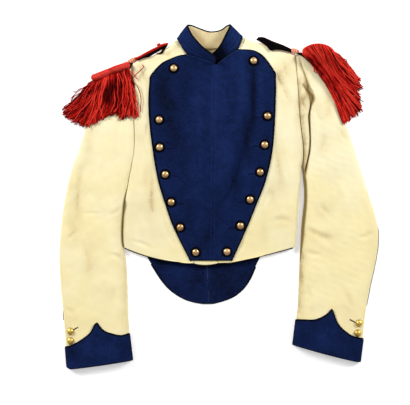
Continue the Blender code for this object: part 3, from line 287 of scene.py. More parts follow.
def through(points, per=10):
    """A smooth line through points of any dimension."""
    p = np.asarray(points, float)
    if len(p) < 3:
        return p
    e = np.vstack([2 * p[0] - p[1], p, 2 * p[-1] - p[-2]])
    out = []
    for i in range(len(p) - 1):
        a, b, c, d = e[i:i + 4]
        for t in np.arange(per) / per:
            out.append(0.5 * (2 * b + (c - a) * t + (2 * a - 5 * b + 4 * c - d) * t * t
                              + (3 * b - a - 3 * c + d) * t ** 3))
    out.append(p[-1])
    return np.array(out)


def along(line):
    """Length along a line at each of its points."""
    return np.concatenate([[0.0], np.cumsum(np.linalg.norm(np.diff(line, axis=0), axis=1))])


def spaced(line, step=None, count=None):
    """The line again with evenly spaced points."""
    s = along(line)
    n = count or max(2, int(round(s[-1] / step)) + 1)
    t = np.linspace(0, s[-1], n)
    return np.stack([np.interp(t, s, line[:, k]) for k in range(line.shape[1])], axis=1)


def ease(t):
    t = np.clip(t, 0.0, 1.0)
    return t * t * (3 - 2 * t)


def uneven(xy, wave, seed, along_x=1.0, along_y=1.0):
    """A smooth unevenness of about -1 to 1 with the given wavelength in mm."""
    r = np.random.default_rng(seed)
    out = np.zeros(len(xy))
    for _ in range(9):
        a, f = r.uniform(0, math.tau), math.tau / (wave * r.uniform(0.65, 1.6))
        out += r.uniform(0.5, 1.0) * np.sin(f * (xy[:, 0] * math.cos(a) * along_x + xy[:, 1] * math.sin(a) * along_y)
                                            + r.uniform(0, math.tau))
    return out / 3.4


def from_line(xy, line):
    """Signed distance of points from a line, and how far along it they are (0 to 1)."""
    a, d = line[:-1], np.diff(line, axis=0)
    size = np.maximum((d * d).sum(1), 1e-9)
    s = along(line)
    best = np.full(len(xy), np.inf)
    signed, place = np.zeros(len(xy)), np.zeros(len(xy))
    for k in range(len(a)):
        v = xy - a[k]
        t = np.clip((v @ d[k]) / size[k], 0, 1)
        w = v - t[:, None] * d[k]
        dist = np.hypot(w[:, 0], w[:, 1])
        near = dist < best
        best[near] = dist[near]
        turn = d[k][0] * v[:, 1] - d[k][1] * v[:, 0]
        signed[near] = (dist * np.where(turn >= 0, 1, -1))[near]
        place[near] = ((s[k] + t * math.sqrt(size[k])) / s[-1])[near]
    return signed, place


# Creases, placed one by one.  depth: mm below the cloth (a ridge is negative); wide:
# half width in mm; lean: -1 to 1, the side that is steeper (right or left of the
# line as drawn); ends: share of the length over which each end fades.
CREASE_HEAD = ("on", "depth", "wide", "lean", "ends", "points")
CREASES = (
    # left front, beside the plastron
    ("front_left", 1.5, 4.5, 0.3, .35, ((152.0, 160), (151.4, 178), (152.0, 200), (153.6, 224))),
    ("front_left", 1.0, 4.0, -.2, .4, ((146.8, 164), (145.4, 178), (145.6, 196))),
    ("front_left", 1.1, 3.0, 0.2, .4, ((148.2, 120), (146.4, 131), (144.6, 143))),
    ("front_left", 1.2, 5.0, 0.0, .4, ((138.0, 64), (143.0, 71), (146.0, 84), (146.6, 98))),
    ("front_left", -.9, 5.0, 0.0, .4, ((140.6, 96), (141.8, 118), (141.0, 150))),
    ("front_left", -.8, 7.0, 0.0, .4, ((137.0, 206), (142.0, 226), (146.0, 243))),
    ("front_left", 0.9, 4.0, 0.4, .4, ((163.0, 214), (168.0, 232), (176.0, 248))),
    ("front_left", 0.7, 3.5, 0.0, .4, ((128.0, 240), (140.0, 243), (156.0, 250))),
    ("front_left", 1.0, 3.5, 0.0, .4, ((160.0, 52), (166.0, 55), (174.0, 50))),
    # right front
    ("front_right", 1.9, 5.0, -.3, .3, ((274.0, 62), (276.8, 73), (281.6, 86), (287.0, 97), (291.6, 108))),
    ("front_right", 1.1, 4.0, 0.0, .4, ((283.0, 58), (285.6, 70), (288.0, 82))),
    ("front_right", 1.7, 6.0, 0.2, .3, ((277.0, 128), (276.6, 148), (278.4, 166), (281.6, 184), (284.2, 212))),
    ("front_right", -1.0, 6.0, 0.0, .4, ((284.6, 120), (286.0, 146), (289.0, 172), (290.4, 198))),
    ("front_right", 1.0, 4.5, 0.3, .4, ((271.6, 184), (267.6, 196), (262.0, 209))),
    ("front_right", 0.8, 5.0, 0.0, .4, ((270.0, 222), (282.0, 219), (294.0, 223))),
    ("front_right", 0.9, 4.0, 0.0, .4, ((246.0, 236), (241.0, 247), (238.0, 256))),
    ("front_right", 0.8, 3.5, 0.0, .4, ((262.0, 47), (270.0, 54), (276.0, 64))),
    # plastron (and the fronts beneath it)
    ("plastron", 2.4, 6.5, -.3, .22, ((255.4, 66), (254.6, 80), (254.4, 96), (253.6, 110), (250.6, 126), (246.6, 143),
                                     (242.0, 160), (236.6, 178), (229.6, 194), (221.0, 207), (214.6, 219))),
    ("plastron", -1.2, 7.0, 0.0, .3, ((241.4, 60), (243.4, 78), (244.2, 97), (241.0, 118))),
    ("plastron", 1.5, 5.0, 0.2, .35, ((194.4, 148), (196.6, 166), (196.2, 184), (193.0, 200))),
    ("plastron", 1.1, 4.5, 0.0, .4, ((203.6, 134), (202.6, 150), (200.6, 166))),
    ("plastron", 1.2, 6.0, 0.0, .35, ((176.0, 84), (174.4, 104), (176.6, 128), (180.6, 148))),
    ("plastron", -.9, 7.0, 0.0, .4, ((190.0, 76), (187.6, 100), (188.6, 126))),
    ("plastron", 1.2, 5.0, 0.2, .4, ((223.0, 214), (219.6, 229), (216.6, 245))),
    ("plastron", -.8, 5.0, 0.0, .4, ((229.0, 206), (226.4, 224), (223.0, 243))),
    ("plastron", 1.0, 4.5, 0.0, .4, ((186.0, 214), (191.0, 230), (198.6, 246))),
    ("plastron", 0.9, 4.0, 0.0, .4, ((222.6, 70), (224.4, 86), (223.4, 104))),
    # left sleeve
    ("sleeve_left", 1.5, 6.0, 0.0, .3, ((84.6, 158), (81.0, 176), (78.0, 196), (77.4, 214), (78.8, 232))),
    ("sleeve_left", 1.0, 4.5, 0.0, .4, ((80.0, 238), (85.0, 252), (88.6, 268), (88.0, 284))),
    ("sleeve_left", 0.8, 2.6, 0.2, .4, ((80.0, 214.6), (91.0, 213.0), (104.0, 213.8))),
    ("sleeve_left", 1.1, 3.2, 0.3, .4, ((66.0, 240), (70.6, 236.4), (76.0, 230))),
    ("sleeve_left", 0.9, 4.0, 0.0, .4, ((121.0, 205), (116.0, 212), (108.0, 216))),
    ("sleeve_left", 1.1, 4.0, -.2, .4, ((124.0, 262), (117.0, 256), (108.0, 254))),
    ("sleeve_left", -.9, 7.0, 0.0, .4, ((100.0, 150), (97.0, 178), (99.0, 206))),
    ("sleeve_left", 1.1, 4.5, 0.3, .35, ((127.6, 78), (121.6, 90), (118.0, 106), (117.6, 124))),
    ("sleeve_left", -.8, 5.0, 0.0, .4, ((125.0, 112), (122.0, 134), (120.6, 156))),
    ("sleeve_left", 0.8, 4.0, 0.0, .4, ((64.0, 306), (69.0, 311), (75.0, 313))),
    ("sleeve_left", 0.9, 5.0, 0.0, .4, ((111.0, 282), (113.0, 296), (112.0, 312))),
    ("sleeve_left", -.7, 6.0, 0.0, .4, ((98.0, 262), (96.6, 284), (97.0, 306))),
    # right sleeve: the deep fold beside the armhole, and its soft ridges
    ("sleeve_right", 3.0, 4.6, 1.3, .26, ((300.5, 58), (302.8, 66), (305.3, 74), (309.0, 86), (312.0, 92), (315.2, 97.4))),
    ("sleeve_right", 3.8, 4.4, 1.3, .34, ((305.0, 80), (309.6, 88), (313.6, 95), (313.6, 101), (311.6, 108))),
    ("sleeve_right", 2.0, 2.4, -.3, .34, ((299.5, 82), (304.0, 86), (307.0, 90), (309.0, 97), (310.6, 106))),
    ("sleeve_right", 6.0, 1.7, 0.0, .10, ((311.4, 99), (310.8, 106), (309.4, 113), (309.0, 118), (309.5, 125), (310.2, 135),
                                        (310.3, 143), (309.6, 152), (307.8, 160), (305.9, 168), (304.6, 175))),
    ("sleeve_right", 1.0, 1.6, 0.0, .4, ((301.0, 96), (302.8, 103), (304.6, 110))),
    ("sleeve_right", -1.1, 3.0, 0.0, .3, ((304.0, 108), (304.8, 122), (306.0, 136), (306.0, 152))),
    ("sleeve_right", 1.3, 5.0, 0.0, .4, ((313.6, 104), (316.4, 113), (320.6, 124))),
    ("sleeve_right", -1.0, 6.0, 0.0, .4, ((318.0, 92), (322.0, 108), (324.0, 124))),
    ("sleeve_right", 1.1, 5.0, 0.0, .4, ((327.4, 90), (329.0, 104), (328.6, 122))),
    ("sleeve_right", 1.1, 5.0, 0.0, .4, ((323.4, 130), (323.6, 142), (322.0, 156))),
    ("sleeve_right", 0.9, 3.5, 0.3, .4, ((340.0, 128), (343.0, 136), (347.0, 142))),
    ("sleeve_right", 1.7, 7.0, 0.2, .3, ((304.6, 228), (313.0, 232), (323.0, 237), (336.0, 241))),
    ("sleeve_right", 1.0, 4.5, 0.0, .4, ((318.0, 202), (323.6, 209), (330.0, 217))),
    ("sleeve_right", 1.0, 4.0, 0.3, .4, ((375.0, 232), (367.0, 236), (357.0, 238))),
    ("sleeve_right", 1.1, 4.5, -.2, .4, ((303.0, 250), (312.0, 254), (324.0, 254))),
    ("sleeve_right", -.9, 7.0, 0.0, .4, ((340.0, 176), (345.0, 200), (347.0, 222))),
    ("sleeve_right", 1.0, 4.5, 0.0, .4, ((344.0, 288), (348.6, 300), (354.0, 312))),
    ("sleeve_right", -.7, 6.0, 0.0, .4, ((325.0, 264), (326.0, 284), (328.0, 302))),
    ("sleeve_right", 0.8, 4.0, 0.0, .4, ((306.0, 282), (309.0, 296), (308.0, 310))),
    # cuffs
    ("cuff_left", 0.6, 3.0, 0.0, .4, ((112.0, 341), (120.0, 340), (128.0, 341))),
    ("cuff_left", -.6, 6.0, 0.0, .4, ((84.0, 346), (88.0, 356), (87.0, 368))),
    ("cuff_left", 0.6, 4.0, 0.0, .4, ((104.0, 342), (105.0, 354), (103.0, 366))),
    ("cuff_right", 0.6, 3.0, 0.0, .4, ((300.0, 328), (309.0, 330), (318.0, 330))),
    ("cuff_right", -.6, 6.0, 0.0, .4, ((340.0, 334), (339.0, 346), (337.0, 356))),
    ("cuff_right", 0.6, 4.0, 0.0, .4, ((322.0, 326), (321.0, 338), (319.0, 350))),
    # tails
    ("tail", 0.7, 5.0, 0.0, .35, ((172.0, 266), (178.0, 278), (188.0, 292))),
    ("tail", -.7, 7.0, 0.0, .35, ((190.0, 268), (196.0, 282), (203.0, 298))),
    ("tail", 0.7, 5.0, 0.0, .35, ((238.0, 266), (233.0, 280), (226.0, 294))),
    ("tail", -.7, 7.0, 0.0, .35, ((222.0, 268), (219.0, 284), (214.0, 298))),
    ("tail", 0.6, 3.5, 0.0, .35, ((160.0, 264), (166.0, 274), (176.0, 284))),
    ("tail", 0.6, 3.5, 0.0, .35, ((252.0, 266), (246.0, 276), (240.0, 284))),
    # back, below the neck seam
    ("back", 0.9, 1.3, 0.0, .4, ((208.4, 49), (210.0, 55), (212.4, 62))),
    ("back", 0.9, 1.3, 0.0, .4, ((212.0, 49), (213.0, 56), (214.4, 63))),
    ("back", 0.9, 1.3, 0.0, .4, ((216.4, 49), (216.6, 56), (216.8, 63))),
    ("back", 0.9, 1.3, 0.0, .4, ((220.4, 49), (219.8, 55), (218.8, 60))),
    ("back", 0.8, 1.5, 0.0, .4, ((204.4, 49), (206.4, 54), (209.0, 60))),
)

# Stains on the pale wool, with patches of painted shade beside its folds and along the sleeves' fore edges: place,
# reach across and along, and strength.
SOIL_AND_SHADE_HEAD = ("x", "y", "reach_x", "reach_y", "amount")
SOIL_AND_SHADE = (
    (143.5, 70, 9, 10, .36), (141, 90, 5, 22, .25), (146, 132, 4, 12, .34), (152, 194, 3.6, 27, .50),
    (146, 182, 3, 11, .32), (140, 205, 8, 10, .25), (158, 232, 12, 6, .18), (168, 53, 10, 5, .30),
    (158, 61, 8, 6, .30), (171, 58, 5, 4, .26), (176, 47, 4, 4, .20), (262, 56, 5, 4, .22), (137, 120, 3, 40, .28), (130, 225, 4, 22, .16),
    (272, 191, 3.6, 8, .55), (279, 168, 4.6, 26, .42), (285, 221, 11, 5, .30), (279, 80, 5, 13, .48),
    (288, 101, 5, 8, .34), (264, 231, 4, 11, .34), (252, 246, 8, 5, .20), (291, 60, 6, 6, .22), (297, 120, 3, 40, .26),
    (77, 204, 4.5, 20, .34), (81, 178, 4, 15, .24), (89, 263, 5, 13, .48), (75, 232, 5, 9, .36), (120, 224, 3.6, 28, .42),
    (88.5, 141, 4.4, 19, .42), (70, 200, 3, 34, .22), (124, 300, 3, 40, .34), (97, 246, 10, 8, .16), (106, 296, 10, 12, .14),
    (72, 312, 5, 9, .22), (68, 336, 4, 12, .26), (84, 322, 8, 6, .16),
    (303, 215, 2.6, 62, .75), (323, 209, 9, 7, .32), (318, 235, 15, 5, .36), (328, 106, 4, 17, .28), (323, 142, 4, 10, .34),
    (334, 186, 6, 18, .16), (348, 305, 5, 12, .26), (305, 132, 4, 34, .40), (304, 90, 4, 14, .35), (330, 254, 10, 6, .24),
    (308, 92, 3.4, 8, .30), (311.6, 100, 2.2, 5, .30), (286, 71, 7, 11, .34), (318, 104, 9, 12, .16), (298, 108, 2.4, 12, .30),
    (299.5, 285, 3, 26, .45), (372, 236, 5, 26, .22), (352, 322, 9, 7, .18), (343, 132, 4, 6, .26),
)


def creases(xy, on):
    """Height change and depth of trough at plan positions (mm) from the creases of a piece."""
    dz, trough = np.zeros(len(xy)), np.zeros(len(xy))
    for name, depth, wide, lean, ends, points in CREASES:
        if name not in on:
            continue
        line = through(squares(points), 6)
        low, high = line.min(0) - 5 * wide, line.max(0) + 5 * wide
        near = ((xy > low) & (xy < high)).all(1)
        if not near.any():
            continue
        off, place = from_line(xy[near], line)
        half = wide * (1 - 0.45 * lean * np.sign(off)) * (0.92 + 0.16 * np.sin(7 * place + depth * 5))
        size = depth * ease(place / ends) * ease((1 - place) / ends)
        hollow = np.exp(-(off / half) ** 2)
        ridge = 0.22 if wide > 2 else 0.04
        dz[near] += -size * hollow + ridge * size * np.exp(-((np.abs(off) - 2.0 * half) / half) ** 2)
        trough[near] += np.maximum(size, 0) * hollow
    return dz, trough


def soiled_and_shaded(xy):
    """Strength of the stains and patches of painted shade at plan positions."""
    out = np.zeros(len(xy))
    wobble = uneven(xy, 26.0, 5) * 0.40 + uneven(xy, 11.0, 6) * 0.18
    for x, y, rx, ry, amount in SOIL_AND_SHADE:
        c = plan(x, y)
        d = np.hypot((xy[:, 0] - c[0]) / (1.25 * rx * SQUARE), (xy[:, 1] - c[1]) / (1.25 * ry * SQUARE))
        out += amount * np.exp(-np.maximum(d + 0.3 * wobble, 0) ** 2)
    return np.clip(out, 0, 1)


# ----------------------------------------------------------------------- meshes
def normals(grid, ring=False):
    """Unit normals at the points of a grid; a ring's columns meet."""
    if ring:
        wide = np.concatenate([grid[:, -1:], grid, grid[:, :1]], axis=1)
        du = (wide[:, 2:] - wide[:, :-2]) / 2
    else:
        du = np.gradient(grid, axis=1)
    dv = np.gradient(grid, axis=0)
    n = np.cross(du, dv)
    n /= np.maximum(np.linalg.norm(n, axis=2, keepdims=True), 1e-9)
    if ring:
        out = grid - grid.mean(axis=(0, 1))
        flip = (n * out).sum() < 0
    else:
        flip = n[:, :, 2].mean() < 0
    return -n if flip else n


def finish_mesh(name, verts, faces, uv=None, values=None, per_face=None, smooth=True):
    """A mesh object from points in mm; faces face out of what they close."""
    verts = np.asarray(verts, float)
    mesh = bpy.data.meshes.new(name)
    mesh.from_pydata((verts * MM).tolist(), [], [tuple(f) for f in faces])
    mesh.update()
    mesh.calc_loop_triangles()
    tri = np.zeros(len(mesh.loop_triangles) * 3, np.int32)
    mesh.loop_triangles.foreach_get("vertices", tri)
    a, b, c = (verts[tri.reshape(-1, 3)[:, k]] for k in range(3))
    if (a * np.cross(b, c)).sum() < 0:
        mesh.flip_normals()
    if uv is not None:
        uv = np.asarray(uv, float)
        corner = np.zeros(len(mesh.loops), np.int32)
        mesh.loops.foreach_get("vertex_index", corner)
        layer = mesh.uv_layers.new(name="cut")
        layer.data.foreach_set("uv", uv[corner].astype(np.float32).ravel())
    for key, value in (values or {}).items():
        layer = mesh.attributes.new(key, "FLOAT", "POINT")
        layer.data.foreach_set("value", np.asarray(value, np.float32))
    if smooth:
        mesh.shade_smooth()
    obj = bpy.data.objects.new(name, mesh)
    bpy.context.scene.collection.objects.link(obj)
    return obj


def settle(obj, material, nodes):
    """Gives a piece its material, its place on the body, and the CAD nodes it stands for."""
    obj.data.materials.append(material)
    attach(obj, "root")
    if nodes:
        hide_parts(*([nodes] if isinstance(nodes, str) else nodes))
    return obj


def wall_faces(grid, thick, ring=False, inward=True, arc=4, flat_below=None, n=None, sewn=None):
    """Points, faces, and the grid point each point belongs to, of a cloth wall with
    half-round edges.  The grid is its outer face, or its inner face with inward False.
    sewn gives, for the first or last column, how far it is rounded (0 to 1)."""
    rows, cols = grid.shape[:2]
    n = normals(grid, ring) if n is None else n
    outer = grid if inward else grid + n * thick
    inner = grid - n * thick if inward else grid
    if flat_below is not None:
        inner = inner.copy()
        inner[:, :, 2] = np.maximum(inner[:, :, 2], flat_below)
    outer, inner = outer.copy(), inner.copy()
    unit = lambda v: v / np.maximum(np.linalg.norm(v, axis=-1, keepdims=True), 1e-9)
    mid = (outer + inner) / 2
    if ring:
        loops = [[(0, j) for j in range(cols)], [(rows - 1, j) for j in range(cols - 1, -1, -1)]]
    else:
        loops = [[(0, j) for j in range(cols - 1)] + [(i, cols - 1) for i in range(rows - 1)]
                 + [(rows - 1, j) for j in range(cols - 1, 0, -1)] + [(i, 0) for i in range(rows - 1, 0, -1)]]
    points, owner, faces = [], [], []
    index = np.arange(rows * cols).reshape(rows, cols)
    low_index = index + rows * cols
    base = 2 * rows * cols
    arcs = []
    for loop in loops:
        ids = np.array(loop)
        m = mid[ids[:, 0], ids[:, 1]]
        ahead = unit(np.roll(m, -1, axis=0) - m) + unit(m - np.roll(m, 1, axis=0))
        across = unit(outer[ids[:, 0], ids[:, 1]] - inner[ids[:, 0], ids[:, 1]])
        out = unit(np.cross(ahead, across))
        inside = np.array([mid[min(max(i, 1), rows - 2), j if ring else min(max(j, 1), cols - 2)] for i, j in loop])
        if ((m - inside) * out).sum() < 0:
            out = -out
        step = np.linalg.norm(m - inside, axis=1)
        half = np.linalg.norm(outer[ids[:, 0], ids[:, 1]] - inner[ids[:, 0], ids[:, 1]], axis=1) / 2
        soft = np.ones(len(loop))
        for column, share in (sewn or {}).items():
            here = ids[:, 1] == column % cols
            soft[here] = np.broadcast_to(share, (rows,))[ids[here, 0]]
        pull = (np.minimum(half, 0.7 * step) * soft)[:, None] * out
        outer[ids[:, 0], ids[:, 1]] -= pull
        inner[ids[:, 0], ids[:, 1]] -= pull
        c = (outer[ids[:, 0], ids[:, 1]] + inner[ids[:, 0], ids[:, 1]]) / 2
        rings = [index[ids[:, 0], ids[:, 1]]]
        for k in range(1, arc):
            a = math.pi * k / arc
            rings.append(base + len(points) + np.arange(len(loop)))
            points.extend(c + across * half[:, None] * math.cos(a) + out * np.linalg.norm(pull, axis=1)[:, None] * math.sin(a))
            owner.extend(index[ids[:, 0], ids[:, 1]])
        rings.append(low_index[ids[:, 0], ids[:, 1]])
        arcs.append(rings)
    wrap = cols if ring else cols - 1
    nxt = [(j + 1) % cols for j in range(cols)]
    for i in range(rows - 1):
        for j in range(wrap):
            k = nxt[j]
            faces.append((index[i, j], index[i, k], index[i + 1, k], index[i + 1, j]))
            faces.append((low_index[i, j], low_index[i + 1, j], low_index[i + 1, k], low_index[i, k]))
    for rings in arcs:
        size = len(rings[0])
        for u, d in zip(rings[:-1], rings[1:]):
            for q in range(size):
                r = (q + 1) % size
                faces.append((u[r], u[q], d[q], d[r]))
    verts = np.vstack([outer.reshape(-1, 3), inner.reshape(-1, 3)] + ([np.array(points)] if points else []))
    owner = np.concatenate([np.arange(rows * cols), np.arange(rows * cols), np.array(owner, int)])
    return verts, [tuple(int(v) for v in f) for f in faces], owner


def cut_uv(grid):
    """Position on the flat cut of each grid point, in units of 100 mm."""
    across = np.linalg.norm(np.diff(grid, axis=1), axis=2)
    u = np.concatenate([np.zeros((grid.shape[0], 1)), np.cumsum(across, axis=1)], axis=1)
    u -= u[:, u.shape[1] // 2][:, None]
    down = np.linalg.norm(np.diff(grid, axis=0), axis=2).mean(axis=1)
    v = np.concatenate([[0.0], np.cumsum(down)])
    return np.stack([u, np.repeat(v[:, None], grid.shape[1], axis=1)], axis=2).reshape(-1, 2) / 100.0


def border(grid, ring=False):
    """Distance of each grid point from the piece's edge, along the grid (mm)."""
    down = np.concatenate([np.zeros((1, grid.shape[1])), np.cumsum(np.linalg.norm(np.diff(grid, axis=0), axis=2), axis=0)])
    near = np.minimum(down, down[-1] - down)
    if not ring:
        over = np.concatenate([np.zeros((grid.shape[0], 1)), np.cumsum(np.linalg.norm(np.diff(grid, axis=1), axis=2), axis=1)], axis=1)
        near = np.minimum(near, np.minimum(over, over[:, -1:] - over))
    return near.reshape(-1)


# Lines of deep shade on the white cloth, where it turns into a fold or towards the gap
# beside it: each (x, y, half width) in drafting squares, with how strong the line is.
SHADE_LINES = (
    (2.2, ((213.5, 59.8, 1.9), (216.5, 62.4, 2.6), (219.5, 65.0, 1.9))), (2.2, ((217.0, 62.0, 2.4), (222.0, 60.2, 2.0))),
    (.90, ((205.0, 48.6, .8), (211.0, 48.9, 1.2), (217.5, 48.2, 1.5))), (.42, ((207.6, 51.4, 1.5), (211.0, 52.4, 2.2), (215.0, 51.4, 2.2))),
    (1.0, ((303.0, 168, .7), (304.4, 176, 1.3), (305.0, 184, 1.8), (305.2, 195, 2.0), (304.9, 205, 2.0), (304.0, 215, 1.9),
           (302.9, 226, 1.8), (301.8, 240, 1.4), (301.0, 252, .8), (300.4, 262, .3))),
    (.9, ((301.6, 166, .4), (302.4, 173, .9), (302.6, 180, .8), (300.8, 186, .3))),
    (.95, ((303.0, 84, .3), (306.8, 89.5, 1.1), (310.2, 94, 2.0), (312.2, 98.3, 2.5), (311.7, 102.5, 1.6), (310.6, 107, .9))),
    (.9, ((310.9, 106, .9), (309.8, 114, .8), (310.2, 130, .7), (310.0, 145, .75), (307.9, 160, .9), (305.0, 175, 1.2))),
    (.36, ((299.6, 58, .5), (301.6, 66, .9), (304.2, 73, .8), (306.6, 79, .6), (309.4, 86, .6))),
    (.6, ((298.8, 101, .3), (300.0, 117, .45), (301.8, 133, .45), (303.6, 148, .5), (303.4, 163, .6), (302.6, 174, .8))),
    (1.0, ((126.2, 190, .2), (124.8, 198.5, .9), (124.5, 205.5, 1.7), (123.4, 214, 1.2), (122.6, 224, 1.2), (122.2, 236, 1.2),
           (122.6, 243.5, 1.1), (123.5, 247.5, .8))))


def deep_shade(xy):
    """0 to 1: how much a point lies in a line of deep shade."""
    out = np.zeros(len(xy))
    for strength, points in SHADE_LINES:
        line = through([(*plan(x, y), w * SQUARE) for x, y, w in points], 6)
        for a, b in zip(line[:-1], line[1:]):
            d = b[:2] - a[:2]
            t = np.clip(((xy - a[:2]) @ d) / max(d @ d, 1e-9), 0, 1)
            away = np.linalg.norm(xy - a[:2] - t[:, None] * d, axis=1)
            width = np.maximum(a[2] + (b[2] - a[2]) * t, 0.3)
            out = np.maximum(out, strength * np.exp(-(away / (1.15 * width)) ** 4))
    return out


def wall(name, grid, thick, material, nodes, slot, soil_and_shade=None, wear_and_shade=None, edge=2.2, **how):
    """A cloth piece: a wall with half-round edges that stands for CAD nodes."""
    ring = how.get("ring", False)
    verts, faces, owner = wall_faces(grid, thick, **how)
    flat = border(grid, ring)
    count = grid.shape[0] * grid.shape[1]
    soil_and_shade = np.zeros(count) if soil_and_shade is None else soil_and_shade.reshape(-1)
    wear_and_shade = np.exp(-flat / edge) if wear_and_shade is None else wear_and_shade.reshape(-1)
    shade = deep_shade(grid.reshape(-1, 3)[:, :2]) if material is WHITE else np.zeros(count)
    obj = finish_mesh(name, verts, faces, cut_uv(grid)[owner],
                      {"soil_and_shade": soil_and_shade[owner], "wear_and_shade": wear_and_shade[owner], "shade": shade[owner]})
    return settle(obj, material, nodes)


def area_of(grid, ring=False):
    g = np.concatenate([grid, grid[:, :1]], axis=1) if ring else grid
    a, b, c, d = g[:-1, :-1], g[:-1, 1:], g[1:, 1:], g[1:, :-1]
    tri = lambda p, q, r: np.linalg.norm(np.cross(q - p, r - p), axis=2).sum() / 2
    return (tri(a, b, c) + tri(a, c, d)) * 1e-6


def cut_of(grid, ring=False, upright=False):
    """Width, length and area of a piece's flat cut, in metres.  An upright piece has
    the sides of the box round its outline, as its curved edges are longer than it is,
    and each side is let out by the cloth's rise along its longest row or column."""
    g = np.concatenate([grid, grid[:, :1]], axis=1) if ring else np.asarray(grid, float)
    sides = []
    for axis, across in ((0, 1), (1, 0)):
        step = np.diff(g, axis=across)
        line = np.linalg.norm(step, axis=2).sum(axis=across)
        level = np.linalg.norm(step[..., :2], axis=2).sum(axis=across)
        k = level.argmax()
        sides.append(np.ptp(g[..., axis]) * line[k] / level[k] if upright else line.max())
    return float(sides[0] * MM), float(sides[1] * MM), float(area_of(grid, ring))


def tube(points, radius, sides=8, round_ends=True, twist=0.0, flat=1.0, up=(0, 0, 1)):
    """Points, faces and surface positions of a round cord along a line.  radius may
    vary along it; flat squeezes it in the direction of up."""
    p = np.asarray(points, float)
    radius = np.broadcast_to(np.asarray(radius, float), (len(p),)).copy()
    t = np.gradient(p, axis=0)
    t /= np.maximum(np.linalg.norm(t, axis=1, keepdims=True), 1e-9)
    n = np.cross(np.cross(t, np.asarray(up, float)), t)
    weak = np.linalg.norm(n, axis=1) < 1e-3
    n[weak] = np.cross(np.cross(t[weak], (1.0, 0.2, 0.0)), t[weak])
    n /= np.linalg.norm(n, axis=1, keepdims=True)
    b = np.cross(t, n)
    s = along(p)
    rings, pos, rad = [], list(range(len(p))), []
    centres, scale = [p[i] for i in range(len(p))], [1.0] * len(p)
    if round_ends:
        for a in (0.45, 0.85):
            centres.insert(0, p[0] - t[0] * radius[0] * math.sin(a))
            scale.insert(0, math.cos(a)); pos.insert(0, 0)
            centres.append(p[-1] + t[-1] * radius[-1] * math.sin(a))
            scale.append(math.cos(a)); pos.append(len(p) - 1)
    angle = np.arange(sides) * math.tau / sides
    verts, uv = [], []
    for c, f, i in zip(centres, scale, pos):
        turn = angle + twist * s[i]
        ring = c + radius[i] * f * (np.cos(turn)[:, None] * n[i] * flat + np.sin(turn)[:, None] * b[i])
        verts.append(ring)
        uv += [(k / sides, s[i] / 10.0) for k in range(sides)]
    rows = len(verts)
    verts = np.concatenate(verts)
    faces = [(i * sides + k, i * sides + (k + 1) % sides, (i + 1) * sides + (k + 1) % sides, (i + 1) * sides + k)
             for i in range(rows - 1) for k in range(sides)]
    tip0 = p[0] - t[0] * radius[0] if round_ends else p[0]
    tip1 = p[-1] + t[-1] * radius[-1] if round_ends else p[-1]
    base = rows * sides
    verts = np.vstack([verts, tip0, tip1])
    uv += [(0.5, 0.0), (0.5, s[-1] / 10.0)]
    faces += [(base, (k + 1) % sides, k) for k in range(sides)]
    last = (rows - 1) * sides
    faces += [(base + 1, last + k, last + (k + 1) % sides) for k in range(sides)]
    return verts, faces, np.array(uv)


class Heap:
    """Many small closed shapes gathered into one mesh."""

    def __init__(self):
        self.verts, self.faces, self.uv, self.tone, self.count = [], [], [], [], 0

    def add(self, shape, tone=0.5):
        verts, faces, uv = shape
        a = np.asarray(faces[:64], dtype=object)
        self.faces += [tuple(v + self.count for v in f) for f in faces]
        self.verts.append(verts)
        self.uv.append(uv)
        self.tone.append(np.broadcast_to(np.asarray(tone, float), (len(verts),)))
        self.count += len(verts)

    def piece(self, name, material, nodes, slot):
        obj = finish_mesh(name, np.vstack(self.verts), self.faces, np.vstack(self.uv),
                          {"tone": np.concatenate(self.tone)})
        return settle(obj, material, nodes)


class Ground:
    """Height and slope of the cloth that is already laid out, at a plan position."""

    def __init__(self, grids):
        verts, faces = [], []
        for grid in grids:
            rows, cols = grid.shape[:2]
            base = len(verts)
            verts += [Vector(p) for p in grid.reshape(-1, 3).tolist()]
            for i in range(rows - 1):
                for j in range(cols - 1):
                    a = base + i * cols + j
                    faces.append((a, a + 1, a + cols + 1, a + cols))
        self.tree = BVHTree.FromPolygons(verts, faces)

    def hit(self, x, y):
        place, normal, _, _ = self.tree.ray_cast(Vector((x, y, 500.0)), Vector((0, 0, -1)))
        if place is None:
            return 0.0, Vector((0, 0, 1))
        return place.z, (normal if normal.z > 0 else -normal)

    def top(self, x, y, around=0.0):
        spots = [(x, y)]
        if around:
            spots += [(x + around * math.cos(a), y + around * math.sin(a)) for a in (k * math.pi / 4 for k in range(8))]
        return max(self.hit(*s)[0] for s in spots)


